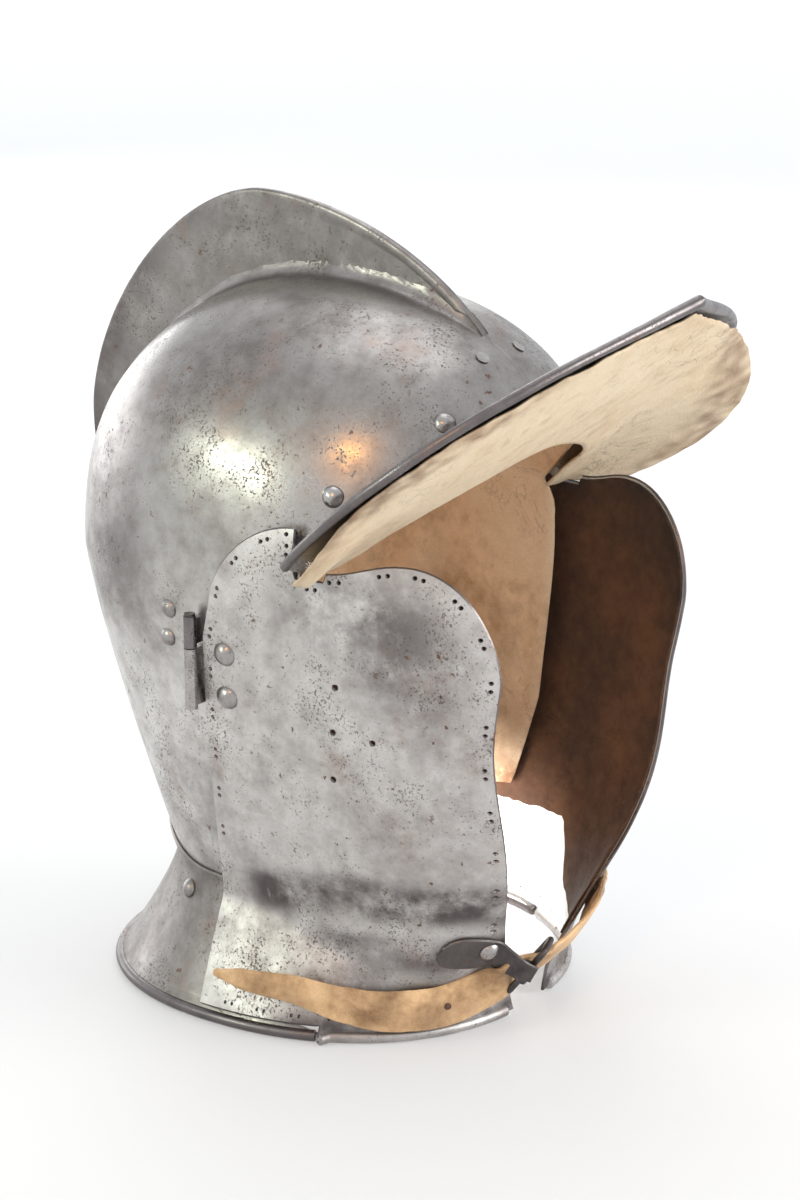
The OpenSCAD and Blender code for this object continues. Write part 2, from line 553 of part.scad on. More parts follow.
// Rectangular ring of round wire
module buckle_ring() color(dark_iron) placed() at_bar() {
    for (x = [0, ring_reach]) translate([x, 0, -ring_len / 2])
        cylinder(r = ring_wire_r, h = ring_len, $fn = 40);
    for (s = [-1, 1]) translate([0, 0, s * ring_len / 2]) {
        rotate([0, 90, 0]) cylinder(r = ring_wire_r, h = ring_reach, $fn = 40);
        for (x = [0, ring_reach]) translate([x, 0, 0]) sphere(r = ring_wire_r, $fn = 40);
    }
}

// A strap is a row of stations: [centre, direction across the width]
module strap(stations, taper) {
    n = len(stations);
    function dir(i) = stations[min(n - 1, i + 1)][0] - stations[max(0, i - 1)][0];
    function face(i) = unit(cross(dir(i), stations[i][1]));
    half = function (i) strap_w / 2 * taper(i / (n - 1));
    side = function (s) [for (v = [-1, 0, 1]) [for (i = [0:n - 1])
        stations[i][0] + unit(stations[i][1]) * half(i) * v + face(i) * (s * strap_t / 2)]];
    sheet(side(1), side(-1));
}

// Free end: from the ring back over the flange of the right cheek plate
tail_lift = 3.6;
function tail_z(u) = 12.5 + 7 * smooth((0.75 - u) / 0.4) + 5 * smooth((u - 0.86) / 0.14);
// Smooth copy of the flange's surface at column u and height z
function flange_at_z(u, z) = let (top = plate_z(u, 0), h = pow(max(0, 1 - z / top), flange_power))
    mix(cheek_pt(top, col_y(top, u)),
        rim_pt(u, mix(rear_grow, front_grow, smooth((u - overlap_u) / 0.14))), h);
function tail_at(u) = let (z = tail_z(u), p = flange_at_z(u, z),
    a = flange_at_z(u - 0.02, z) - flange_at_z(u + 0.02, z),
    n = unit([-a[1], a[0], 0.25 * norm(a)])) [p[0], p[1], z] + n * tail_lift;
// Width along the free end: full at the ring, then narrowing to a point
function tail_taper(s) =
    s < 0.4 ? 1 : s < 0.9 ? mix(1, 0.5, (s - 0.4) / 0.5) : mix(0.5, 0.15, (s - 0.9) / 0.1);

module strap_tail() color(tan_leather) placed() {
    // past the free bar, through the ring and behind the fixed bar
    lead = concat([for (p = [[18.5, -4, 0], [12, -3.2, -0.8], [6, 0.2, -1.8], [0, 4.2, -3]])
        [bar_pt(p), bar_dir]], [[[-31, -93.5, 20], [0.12, -0.25, 0.95]]]);
    run = [for (u = [0.9:-0.06:0.03]) [tail_at(u), [0, mix(0.25, 0.1, u), 1]]];
    strap(concat(lead, run), function (s) tail_taper(s));
}

chin_lift = 1.9;               // from the plate to the middle of the strap

// Fixed end: from its rivet on the left plate, round the plate's front edge, to the ring
module chin_strap() color(tan_leather) placed() difference() {
    on_plate = [for (x = [47, 41, 35, 30])
        let (p = cheek_by_x(36, x)) flip_x(p + cheek_out(36, p[1]) * chin_lift)];
    free = [[22, -101, 31], [14, -101.6, 28.4], [6, -101, 26.2], [0, -100.4, 24.6], [-4.9, -99.8, 23.7]];
    width = function (x) mix(bar_dir, [0.12, -0.58, 1], smooth((x + 5) / 30));
    strap([for (p = concat(on_plate, free)) [p, width(p[0])]], function (s) mix(1, 0.96, s));
    mirror([1, 0, 0]) at_cheek(chape_at[0], chape_at[1])
        translate([0, 0, -4]) cylinder(r = hole_r, h = 12, $fn = 32);
}

module strap_rivet() color(steel) placed() mirror([1, 0, 0])
    at_cheek(chape_at[0], chape_at[1], chin_lift + strap_t / 2 + 0.45)
        domed_rivet(small_rivet_r, 2.1, shank_r, plate_t + strap_t + 1.5);

skull_right();
skull_left();
seam_tab();
seam_rivets();
peak();
peak_rivets();
peak_lining();
skull_lining();
nape_plate();
nape_rivets();
skull_hinge_leaf_right();
skull_hinge_leaf_left();
skull_hinge_rivets();
hinge_pin_right();
hinge_pin_left();
cheek_plate_right();
cheek_lining_right();
cheek_hinge_leaf_right();
cheek_hinge_rivets_right();
buckle_chape();
chape_rivet();
strap_tail();
buckle_ring();
cheek_plate_left();
cheek_lining_left();
cheek_hinge_leaf_left();
cheek_hinge_rivets_left();
chin_strap();
strap_rivet();
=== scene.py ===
# Combed helmet with hinged cheek plates: the visible pieces, their materials, the
# floor, the lights and the camera. Shapes are in millimetres from the middle of the
# neck rim, with the face towards -Y; MID_Y moves them to the frame's origin.
from math import asin, cos, degrees, hypot, pi, radians, sin, sqrt, tan

import bpy
import bmesh
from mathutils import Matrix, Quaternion, Vector, noise
from mathutils.geometry import delaunay_2d_cdt


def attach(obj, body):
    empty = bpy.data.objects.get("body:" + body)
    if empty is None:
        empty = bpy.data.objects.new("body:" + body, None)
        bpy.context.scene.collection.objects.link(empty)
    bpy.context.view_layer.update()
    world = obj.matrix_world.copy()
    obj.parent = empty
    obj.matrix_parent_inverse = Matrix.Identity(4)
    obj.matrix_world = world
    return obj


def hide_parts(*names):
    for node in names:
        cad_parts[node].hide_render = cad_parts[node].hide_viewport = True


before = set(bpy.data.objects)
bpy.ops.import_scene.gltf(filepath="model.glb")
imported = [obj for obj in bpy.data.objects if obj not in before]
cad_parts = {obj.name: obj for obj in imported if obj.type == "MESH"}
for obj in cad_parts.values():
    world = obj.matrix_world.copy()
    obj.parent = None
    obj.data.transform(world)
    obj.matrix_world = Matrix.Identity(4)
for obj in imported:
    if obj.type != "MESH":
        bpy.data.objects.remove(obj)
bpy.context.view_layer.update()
MID_Y = 18.6  # from the middle of the whole depth back to the middle of the neck rim

# ---- the helmet's surfaces, as in the part's source ----
CROWN, WAIST, NECK, BROW, TEMPLE = 271.0, 170.0, 48.0, 227.0, 186.0
OVAL, SKULL_T, PLATE_T, GAP = 2.2, 1.6, 1.4, 4.3
RIM_W, RIM_L, RIM_DROP = 86.0, 88.8, 3.1
LOBE_Y, NOTCH_Y, NOTCH_Z, CORNER_Y = -43.5, -57, 181.5, -85  # along a cheek plate's top edge
OVERLAP_U = 0.51  # how far forwards along its rim a cheek plate lies over the nape plate


def clamp01(v):
    return min(1.0, max(0.0, v))


def smooth(v):
    s = clamp01(v)
    return s * s * (3 - 2 * s)


def mix(a, b, k):
    return a + (b - a) * k


def spow(v, e):
    return -pow(-v, e) if v < 0 else pow(v, e)


def V(x, y, z):
    return Vector((x, y, z))


def flip(p):
    return V(-p.x, p.y, p.z)


def wobble(p, size, seed=0.0):
    """Smooth noise from -1 to 1 with features of the given size in mm."""
    return noise.noise(V(p.x / size + seed, p.y / size - seed * 1.7, p.z / size + seed * 0.6))


def dome(z, power):
    return sqrt(max(0.0, 1 - pow(clamp01((z - WAIST) / (CROWN - WAIST)), power)))


def below(z):
    return clamp01((WAIST - z) / (WAIST - NECK))


def flare(z):
    return pow(clamp01((NECK - z) / NECK), 1.3)


def skull_w(z):
    if z >= WAIST:
        return 86 * dome(z, 2.4)
    return 86 - 23.5 * pow(below(z), 1.35) + (RIM_W - RIM_DROP - 62.5) * flare(z)


def skull_b(z):
    if z >= WAIST:
        return 97.5 * dome(z, 2.4)
    return 97.5 - 39.5 * pow(below(z), 1.2) + (RIM_L - RIM_DROP - 58) * flare(z)


def skull_f(z):
    return mix(100 * dome(z, 3.6) + 40 * smooth((200 - z) / 50), RIM_L - RIM_DROP,
               pow(clamp01((NECK - z) / NECK), 0.6))


def skull_at(z, a):
    c, s = cos(radians(a)), sin(radians(a))
    return V(-skull_w(z) * spow(c, 2 / OVAL),
             (skull_b(z) if a < 0 else -skull_f(z)) * spow(abs(s), 2 / OVAL), z)


def skull_out(z, a):
    dz = min(0.5, (CROWN - z) / 3)
    across = skull_at(z, a + 0.5) - skull_at(z, a - 0.5)
    up = skull_at(z + dz, a) - skull_at(z - dz, a)
    return across.cross(up).normalized()


def skull_off(z, a, d):
    return skull_at(z, a) + skull_out(z, a) * d


def front_angle(z, y):
    return degrees(asin(pow(clamp01(-y / skull_f(z)), OVAL / 2)))


def skull_angle(z, y):
    return -degrees(asin(pow(clamp01(y / skull_b(z)), OVAL / 2))) if y > 0 else front_angle(z, y)


def edge_angle(z):
    if z >= BROW:
        return 90.0
    if z >= TEMPLE:
        return mix(21.4, 90, 1 - pow(1 - (z - TEMPLE) / (BROW - TEMPLE), 0.57))
    return front_angle(z, -42 + 22 * clamp01((95 - z) / 47) ** 2 + 16 * clamp01((NECK - z) / 20))


COMB_Y, COMB_Z = 35.0, 205.0


def comb_reach(c, s):
    a = 85 if c > 0 else 124
    b = 95.3 if s > 0 else 95
    e = 2 if s < 0 else 1.7 if c > 0 else 1.9
    return pow(pow(abs(c) / a, e) + pow(abs(s) / b, e), -1 / e)


def comb_height(y, z):
    """How far the comb stands over a point of the middle plane."""
    d = hypot(y - COMB_Y, z - COMB_Z)
    return comb_reach((y - COMB_Y) / d, (z - COMB_Z) / d) - d


def brow_a(f):
    return mix(21.4, 90, f)


def brow_height(f):
    return mix(BROW, TEMPLE, pow(max(0.0, 1 - f), 1.754))


EDGE = [V(0, -156, 280), V(39, -139.5, 266), V(114, -136, 261.5), V(116, -79, 216.5), V(97, -48, 189)]


def bezier(points, t):
    while len(points) > 1:
        points = [a.lerp(b, t) for a, b in zip(points, points[1:])]
    return points[0]


def peak_at(g, k):
    f = mix(1, 0.055, abs(g))
    root = skull_off(brow_height(f) - 5.2, min(90, brow_a(f)), -SKULL_T - 0.8)
    tip = bezier(EDGE, abs(g))
    root, tip = (root, flip(tip)) if g > 0 else (flip(root), tip)
    return root.lerp(tip, k) - V(0, 0, 6 * k * (1 - k))


def peak_up(g, k):
    out = peak_at(g, k + 0.05) - peak_at(g, k - 0.05)
    along = peak_at(min(1, g + 0.03), k) - peak_at(max(-1, g - 0.03), k)
    return along.cross(out).normalized()


def nape_top(a):
    return mix(50, 61, smooth((-a - 15) / 60))


def cheek_e(z):
    return OVAL + 0.6 * smooth((130 - z) / 85)


def cheek_w(z):
    return skull_w(max(z, NECK)) + GAP


def cheek_d(z):
    return 158.5 - (0.0036 * (z - 148) ** 2 if z > 148 else 71 * pow(smooth((148 - z) / 150), 1.2))


def cheek_by_x(z, x):
    e = cheek_e(z)
    return V(-x, -cheek_d(z) * pow(max(0, 1 - pow(x / cheek_w(z), e)), 1 / e), z)


def front_y(z):
    z = min(z, 150)
    return cheek_by_x(z, 64 - 50.4 * clamp01((150 - z) / 138) ** 2).y


def rear_y(z):
    return 5 - 11 * clamp01((z - NECK) / 119)


def cheek_pt(z, y):
    e = cheek_e(z)
    return V(-cheek_w(z) * pow(max(0, 1 - pow(abs(y) / cheek_d(z), e)), 1 / e), y, z)


def cheek_out(z, y):
    up = cheek_pt(z + 0.5, y) - cheek_pt(z - 0.5, y)
    return up.cross(cheek_pt(z, y + 0.4) - cheek_pt(z, y - 0.4)).normalized()


def crease_z(y):
    return 45 - 29 * pow(abs(min(y, 0)) / 84, 1.6)


def top_z(y):
    """Height of a cheek plate's top edge: a lobe behind, a notch for the peak, and a rounded front."""
    if y > LOBE_Y:
        return 154 + 45 * sqrt(max(0, 1 - ((y - LOBE_Y) / 39) ** 2))
    if y > NOTCH_Y:
        return NOTCH_Z
    if y > CORNER_Y:
        return mix(NOTCH_Z + 3, 189.5, smooth((NOTCH_Y - y) / 26))
    return 149 + 40.5 * sqrt(max(0, 1 - ((CORNER_Y - y) / (CORNER_Y - front_y(150))) ** 2))


def col_y(z, u):
    return mix(rear_y(z), front_y(z), u)


def plate_z(u, k):
    return mix(crease_z(col_y(30, u)), top_z(col_y(160, u)), k)




def rim_pt(u, grow):
    y = mix(3, -RIM_L + 0.4, u)
    s = pow(max(0, 1 - pow(abs(y) / RIM_L, OVAL)), 1 / OVAL)
    return V(-(RIM_W - RIM_DROP + grow) * s, y * (1 + grow / 90), 0)


def flange_at(u, z, grow):
    top = plate_z(u, 0)
    c = cheek_pt(top, col_y(top, u))
    q = c.lerp(rim_pt(u, grow), pow(max(0, 1 - z / top), 0.9))
    return V(q.x, q.y, z)


def flange_grow(u, z):
    rear = 1 - smooth((u - OVERLAP_U) / 0.05) * (1 - smooth((z - 5) / 5) * (1 - smooth((u - 0.55) / 0.1)))
    return mix(0.6, 4.7, rear)


def cheek_raw(u, z):
    if z >= plate_z(u, 0):
        return cheek_pt(z, col_y(z, u))
    return flange_at(u, z, flange_grow(u, z))


def cheek_surface(u, z):
    """The plate's outside, with the crease over the flange worked smooth."""
    w = min(3.0, z)
    p = V(0, 0, 0)
    for k, share in ((-1, 0.15), (-0.5, 0.2), (0, 0.3), (0.5, 0.2), (1, 0.15)):
        p += cheek_raw(u, z + k * w) * share
    return V(p.x, p.y, z)


# ---- shapes ----
class Shape:
    """Points in mm, faces with a material number, and a stain value for each point."""

    def __init__(self):
        self.v, self.f, self.m, self.g = [], [], [], []

    def point(self, p, g=0.0):
        self.v.append(p.copy())
        self.g.append(g)
        return len(self.v) - 1

    def face(self, corners, mat=0):
        self.f.append(list(corners))
        self.m.append(mat)

    def add(self, other):
        n = len(self.v)
        self.v += [p.copy() for p in other.v]
        self.g += other.g
        self.f += [[i + n for i in f] for f in other.f]
        self.m += other.m
        return self

    def mirrored(self):
        s = Shape()
        s.v, s.g, s.m = [flip(p) for p in self.v], list(self.g), list(self.m)
        s.f = [f[::-1] for f in self.f]
        return s

    def make(self, name, body, mats, stands_for=(), angle=42, slot=None):
        me = bpy.data.meshes.new(name)
        me.from_pydata([((p.x) * 0.001, (p.y + MID_Y) * 0.001, p.z * 0.001) for p in self.v], [], self.f)
        bm = bmesh.new()
        bm.from_mesh(me)
        bmesh.ops.recalc_face_normals(bm, faces=bm.faces)
        bm.to_mesh(me)
        bm.free()
        for m in mats:
            me.materials.append(m)
        for poly, m in zip(me.polygons, self.m):
            poly.material_index = min(m, len(mats) - 1)
        stain = me.attributes.new("stain", "FLOAT", "POINT")
        for i, g in enumerate(self.g):
            stain.data[i].value = g
        me.shade_smooth()
        me.set_sharp_from_angle(angle=radians(angle))
        ob = bpy.data.objects.new(name, me)
        bpy.context.scene.collection.objects.link(ob)
        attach(ob, body)
        if stands_for:
            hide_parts(*stands_for)
        return ob


def sheet(rows, t, inner_mat=0, edge_mat=0, stain=None, round_edge=0.4):
    """Closed sheet under a grid of (point, normal); t is a number or a function of the point."""
    s = Shape()
    nr, nc = len(rows), len(rows[0])
    thick = t if callable(t) else (lambda p: t)
    g = stain if stain else (lambda p: 0.0)
    top = [[s.point(p, g(p)) for p, n in row] for row in rows]
    low = [[s.point(p - n * thick(p), g(p)) for p, n in row] for row in rows]
    for r in range(nr - 1):
        for c in range(nc - 1):
            s.face((top[r][c], top[r][c + 1], top[r + 1][c + 1], top[r + 1][c]), 0)
            s.face((low[r][c], low[r + 1][c], low[r + 1][c + 1], low[r][c + 1]), inner_mat)
    ring = ([(0, c) for c in range(nc)] + [(r, nc - 1) for r in range(1, nr)]
            + [(nr - 1, c) for c in range(nc - 2, -1, -1)] + [(r, 0) for r in range(nr - 2, 0, -1)])
    mid = []
    for r, c in ring:
        p, n = rows[r][c]
        ri, ci = min(max(r, 1), nr - 2), min(max(c, 1), nc - 2)
        away = p - rows[ri][ci][0]
        away = (away - n * away.dot(n))
        away = away.normalized() if away.length > 1e-6 else V(0, 0, 0)
        mid.append(s.point(p - n * (thick(p) / 2) + away * (thick(p) * round_edge), g(p)))
    for i, (r, c) in enumerate(ring):
        j = (i + 1) % len(ring)
        r2, c2 = ring[j]
        s.face((top[r][c], mid[i], mid[j], top[r2][c2]), edge_mat)
        s.face((mid[i], low[r][c], low[r2][c2], mid[j]), edge_mat)
    return s


def plate(outline, holes, surface, t, spacing=2.6, inner_mat=0, edge_mat=0, stain=None, dent=0.25):
    """Closed plate over a flat outline, with round holes; surface maps (u, z) to a point."""
    wide = 110.0
    pts, edges = [], []

    def loop(points):
        n = len(pts)
        pts.extend(Vector(p) for p in points)
        edges.extend((n + i, n + (i + 1) % len(points)) for i in range(len(points)))
        return list(range(n, n + len(points)))

    line = []
    for (a, b), (c, d) in zip(outline, outline[1:] + outline[:1]):
        n = max(1, round(hypot((c - a) * wide, d - b) / 1.8))
        line += [(mix(a, c, i / n) * wide, mix(b, d, i / n)) for i in range(n)]
    border = loop(line)
    for u, z, r in holes:
        n = 10 if r < 1.2 else 14
        loop([(u * wide + r * cos(2 * pi * i / n), z + r * sin(2 * pi * i / n)) for i in range(n)])
    zs = [z for _, z in outline]
    r = 0
    z = min(zs) + spacing * 0.7
    while z < max(zs):
        x = spacing * (0.6 if r % 2 else 1.1)
        while x < wide:
            if all(hypot(x - u * wide, z - hz) > hr + 0.7 for u, hz, hr in holes):
                pts.append(Vector((x, z)))
            x += spacing
        z += spacing * 0.87
        r += 1
    out = delaunay_2d_cdt(pts, edges, [border], 1, 0.001)
    flat, faces = out[0], out[2]
    tri = []
    for f in faces:
        c = sum((flat[i] for i in f), Vector((0, 0))) / len(f)
        if all(hypot(c.x - u * wide, c.y - z) > hr * 0.9 for u, z, hr in holes):
            tri.append(list(f))
    used = sorted({i for f in tri for i in f})
    s = Shape()
    top, low, where, norm = {}, {}, {}, {}
    for i in used:
        u, z = flat[i].x / wide, flat[i].y
        h, k = 0.004, 0.4
        across = surface(u + h, z) - surface(u - h, z)
        rise = surface(u, z + k) - surface(u, max(0, z - k))
        n = across.cross(rise).normalized()
        p = surface(u, z)
        p += n * (wobble(p, 26, 3) * dent + wobble(p, 9, 5) * dent * 0.25)
        g = stain(p) if stain else 0.0
        where[i], norm[i] = p, n
        top[i], low[i] = s.point(p, g), s.point(p - n * t, g)
    seen = {}
    for f in tri:
        s.face([top[i] for i in f], 0)
        s.face([low[i] for i in reversed(f)], inner_mat)
        for a, b in zip(f, f[1:] + f[:1]):
            seen[(a, b)] = seen.get((a, b), 0) + 1
    rim = [e for e in seen if (e[1], e[0]) not in seen]
    away = {}
    for a, b in rim:
        d = (where[b] - where[a]).cross(norm[a])
        for i in (a, b):
            away[i] = away.get(i, V(0, 0, 0)) + d
    mid = {i: s.point(where[i] - norm[i] * (t / 2) + d.normalized() * (t * 0.38), s.g[top[i]])
           for i, d in away.items()}
    for a, b in rim:
        s.face((top[b], top[a], mid[a], mid[b]), edge_mat)
        s.face((mid[b], mid[a], low[a], low[b]), edge_mat)
    return s


def tube(path, radius, segs=14, closed=False, stain=0.0, flat=1.0):
    """Round bar along a path; radius is a number or a function from 0 to 1 along it."""
    s = Shape()
    n = len(path)
    rad = radius if callable(radius) else (lambda k: radius)
    side = None
    rings = []
    for i, p in enumerate(path):
        a = path[(i - 1) % n] if closed or i else path[0]
        b = path[(i + 1) % n] if closed or i < n - 1 else path[-1]
        d = (b - a).normalized()
        if side is None:
            side = d.orthogonal().normalized()
        side = (side - d * side.dot(d)).normalized()
        other = d.cross(side)
        r = rad(i / max(1, n - 1))
        rings.append([s.point(p + side * (r * cos(2 * pi * j / segs))
                              + other * (r * flat * sin(2 * pi * j / segs)), stain)
                      for j in range(segs)])
    last = n if closed else n - 1
    for i in range(last):
        a, b = rings[i], rings[(i + 1) % n]
        for j in range(segs):
            s.face((a[j], a[(j + 1) % segs], b[(j + 1) % segs], b[j]))
    if not closed:
        for ring, p, q in ((rings[0], path[0], path[1]), (rings[-1], path[-1], path[-2])):
            r = rad(0 if ring is rings[0] else 1)
            tip = s.point(p + (p - q).normalized() * r * 0.45, stain)
            for j in range(segs):
                s.face((ring[j], ring[(j + 1) % segs], tip))
    return s


def lathe(profile, at, axis, segs=32, stain=0.0, uneven=0.0):
    """Turned solid: profile is a list of (radius, height) along the axis, from top to bottom."""
    s = Shape()
    axis = axis.normalized()
    a = axis.orthogonal().normalized()
    b = axis.cross(a)
    rings = []
    for r, h in profile:
        ring = []
        for j in range(segs):
            c, sn = cos(2 * pi * j / segs), sin(2 * pi * j / segs)
            dent = 1 + uneven * wobble(at + a * (3 * c) + b * (3 * sn), 3)
            ring.append(s.point(at + axis * h + (a * c + b * sn) * (r * dent), stain))
        rings.append(ring)
    for p, q in zip(rings, rings[1:]):
        for j in range(segs):
            s.face((p[j], p[(j + 1) % segs], q[(j + 1) % segs], q[j]))
    s.face(rings[0])
    s.face(rings[-1][::-1])
    return s


def rivet(at, axis, r, h, shank=3.4):
    """Round head with a slightly flattened top, hammered by hand."""
    ball = (r * r + h * h) / (2 * h)
    steps = 9
    prof = []
    for i in range(steps + 1):
        q = r * i / steps
        prof.append((max(q, 0.02), sqrt(max(0.0, ball * ball - q * q)) - ball + h))
    prof += [(r * 1.0, -0.12), (r * 0.96, -0.25), (1.4, -0.26), (1.4, -shank)]
    return lathe(prof, at, axis, uneven=0.05)


def spline(points, n):
    """Smooth curve through points, n samples for each stretch."""
    out = []
    for i in range(len(points) - 1):
        a, b, c, d = (points[max(0, i - 1)], points[i], points[i + 1], points[min(len(points) - 1, i + 2)])
        for j in range(n):
            t = j / n
            out.append(0.5 * ((2 * b) + (c - a) * t + (2 * a - 5 * b + 4 * c - d) * t * t
                              + (3 * b - a - 3 * c + d) * t ** 3))
    return out + [points[-1].copy()]


# ---- materials ----
class Graph:
    """A material and short names for the nodes it is made of."""

    def __init__(self, name):
        self.m = bpy.data.materials.new(name)
        self.m.use_nodes = True
        self.t = self.m.node_tree
        self.t.nodes.clear()
        self.out = self.t.nodes.new("ShaderNodeOutputMaterial")
        self.where = self.t.nodes.new("ShaderNodeTexCoord").outputs["Object"]

    def node(self, kind, sockets=(), **props):
        n = self.t.nodes.new("ShaderNode" + kind)
        for k, v in props.items():
            setattr(n, k, v)
        for k, v in dict(sockets).items():
            if isinstance(v, bpy.types.NodeSocket):
                self.t.links.new(v, n.inputs[k])
            else:
                n.inputs[k].default_value = v
        return n

    def noise(self, scale, detail=4.0, rough=0.55, vector=None, distortion=0.0):
        return self.node("TexNoise", {"Vector": vector or self.where, "Scale": scale, "Detail": detail,
                                      "Roughness": rough, "Distortion": distortion}).outputs["Fac"]

    def stretch(self, x, y, z):
        return self.node("Mapping", {"Vector": self.where, "Scale": (x, y, z)}).outputs["Vector"]

    def cells(self, scale, vector=None):
        return self.node("TexVoronoi", {"Vector": vector or self.where, "Scale": scale}).outputs["Distance"]

    def band(self, value, low, high, to_low=0.0, to_high=1.0):
        sockets = {"Value": value, "From Min": low, "From Max": high, "To Min": to_low, "To Max": to_high}
        return self.node("MapRange", sockets, interpolation_type="SMOOTHSTEP").outputs["Result"]

    def math(self, op, a, b=0.0):
        return self.node("Math", {0: a, 1: b}, operation=op).outputs[0]

    def ramp(self, value, stops):
        n = self.node("ValToRGB", {"Fac": value})
        e = n.color_ramp.elements
        while len(e) < len(stops):
            e.new(0.5)
        for el, (at, rgb) in zip(e, stops):
            el.position, el.color = at, (*rgb, 1)
        return n.outputs["Color"]

    def blend(self, fac, a, b, mode="MIX"):
        n = self.t.nodes.new("ShaderNodeMix")
        n.data_type, n.blend_type = "RGBA", mode
        for sock, v in zip((n.inputs[0], *[i for i in n.inputs if i.type == "RGBA"][:2]), (fac, a, b)):
            if isinstance(v, bpy.types.NodeSocket):
                self.t.links.new(v, sock)
            else:
                sock.default_value = v if not isinstance(v, tuple) else (*v, 1)
        return [o for o in n.outputs if o.type == "RGBA"][0]

    def stain(self):
        return self.node("Attribute", attribute_name="stain").outputs["Fac"]

    def bump(self, height, strength, distance, normal=None):
        s = {"Height": height, "Strength": strength, "Distance": distance}
        if normal:
            s["Normal"] = normal
        return self.node("Bump", s).outputs["Normal"]

    def finish(self, **sockets):
        s = self.node("BsdfPrincipled", {k.replace("_", " "): v for k, v in sockets.items()})
        self.t.links.new(s.outputs[0], self.out.inputs[0])
        return self.m


def steel(name, light=(0.39, 0.372, 0.355), dark=(0.18, 0.16, 0.15), rough=(0.27, 0.5), pits=1.0,
          rust=1.0, stains=1.0, metallic=1.0, painted_low_reflection=0.0):
    g = Graph(name)
    wide = g.noise(16, 6, 0.62)
    fine = g.noise(120, 6, 0.65)
    grain = g.noise(900, 3, 0.6)
    tone = g.math("ADD", g.math("MULTIPLY", wide, 0.62), g.math("MULTIPLY", fine, 0.38))
    between = tuple(mix(a, b, 0.62) for a, b in zip(dark, light))
    col = g.ramp(tone, [(0.38, dark), (0.52, between), (0.66, light)])
    col = g.blend(g.band(grain, 0.35, 0.7, 0.0, 0.35), col, tuple(c * 0.62 for c in light))
    # painted reflection: towards the bottom (from 235 mm down to 100 mm) the colour is blended towards
    # near-white, standing in for the white floor and backdrop reflected in the lower steel
    if painted_low_reflection:
        xyz = g.node("SeparateXYZ", {"Vector": g.where}).outputs
        low = g.math("MULTIPLY", g.band(xyz["Z"], 0.235, 0.1), g.band(tone, 0.3, 0.62, 0.35, 1.0))
        col = g.blend(g.math("MULTIPLY", low, painted_low_reflection), col, (0.93, 0.91, 0.88))
    worn = g.stain()
    ragged = g.math("MULTIPLY", worn, g.band(g.noise(55, 5, 0.65), 0.25, 0.6))
    col = g.blend(g.math("MULTIPLY", ragged, 0.85 * stains), col, (0.12, 0.105, 0.105))
    # brown bloom and rust spots
    bloom = g.math("MULTIPLY", g.band(g.noise(38, 5, 0.7), 0.56, 0.72), 0.5 * rust)
    col = g.blend(bloom, col, (0.27, 0.19, 0.155))
    spots = g.math("MULTIPLY", g.band(g.noise(260, 3, 0.6), 0.64, 0.72), g.band(g.noise(24, 2), 0.42, 0.6))
    spots = g.math("MULTIPLY", spots, rust)
    col = g.blend(spots, col, (0.13, 0.075, 0.05))
    # pits: small dark hollows, thick in some places and thin in others
    field = g.band(g.noise(34, 5, 0.7), 0.36, 0.66)
    pit = g.math("ADD", g.noise(1000, 5, 0.65), g.math("MULTIPLY", field, 0.14))
    pit = g.math("MULTIPLY", g.band(pit, 0.65, 0.74), 0.75 * pits)
    col = g.blend(pit, col, (0.07, 0.055, 0.05))
    scratch = g.band(g.noise(6, 3, 0.6, g.stretch(60, 60, 6)), 0.66, 0.72, 0, 0.35)
    col = g.blend(scratch, col, tuple(c * 0.55 for c in light))
    r = g.band(g.math("ADD", g.math("MULTIPLY", tone, 0.8), g.math("MULTIPLY", grain, 0.2)), 0.35, 0.68,
               rough[1], rough[0])
    r = g.math("ADD", r, g.math("MULTIPLY", g.math("MAXIMUM", pit, spots), 0.35))
    r = g.math("MINIMUM", g.math("ADD", r, g.math("MULTIPLY", ragged, 0.12)), 1.0)
    height = g.math("SUBTRACT", g.math("MULTIPLY", grain, 0.25), pit)
    n = g.bump(height, 0.4, 0.0002)
    n = g.bump(g.noise(75, 4, 0.5), 0.12, 0.0009, n)
    metal = g.math("SUBTRACT", metallic, g.math("MULTIPLY", g.math("MAXIMUM", spots, pit), 0.75 * metallic))
    return g.finish(Base_Color=col, Roughness=r, Metallic=metal, Normal=n)


def leather(name, light, mid, dark, edge, grain=0.6, rough=0.82, mottling=22, sheen=0.0):
    g = Graph(name)
    wide = g.noise(mottling, 6, 0.6, distortion=0.4)
    fine = g.noise(170, 6, 0.65)
    tone = g.math("ADD", g.math("MULTIPLY", wide, 0.7), g.math("MULTIPLY", fine, 0.3))
    col = g.ramp(tone, [(0.36, dark), (0.5, mid), (0.64, light)])
    fibres = g.noise(1500, 3, 0.7)
    col = g.blend(g.band(fibres, 0.3, 0.75, 0.0, 0.4), col, tuple(c * 0.72 for c in mid))
    soil = g.math("MULTIPLY", g.stain(), g.band(g.noise(80, 5, 0.7), 0.2, 0.62, 0.35, 1.0))
    col = g.blend(soil, col, edge)
    cracks = g.band(g.noise(34, 5, 0.6, distortion=2.2), 0.485, 0.5, 0.0, 1.0)
    cracks = g.math("MULTIPLY", cracks, g.band(g.noise(34, 5, 0.6, distortion=2.2), 0.5, 0.515, 1.0, 0.0))
    cracks = g.math("MULTIPLY", cracks, g.band(g.noise(12, 2), 0.45, 0.6, 0.0, 0.55))
    col = g.blend(cracks, col, tuple(c * 0.35 for c in mid))
    pores = g.cells(1100)
    height = g.math("ADD", g.math("MULTIPLY", fibres, 0.6), g.math("MULTIPLY", pores, 0.5))
    height = g.math("SUBTRACT", height, cracks)
    n = g.bump(height, grain, 0.0003)
    n = g.bump(g.noise(60, 4, 0.5), 0.5, 0.0012, n)
    r = g.band(fine, 0.3, 0.7, rough + 0.1, rough - 0.08)
    s = {"Base_Color": col, "Roughness": r, "Normal": n}
    if sheen:
        s["Sheen_Weight"] = sheen
    return g.finish(**s)
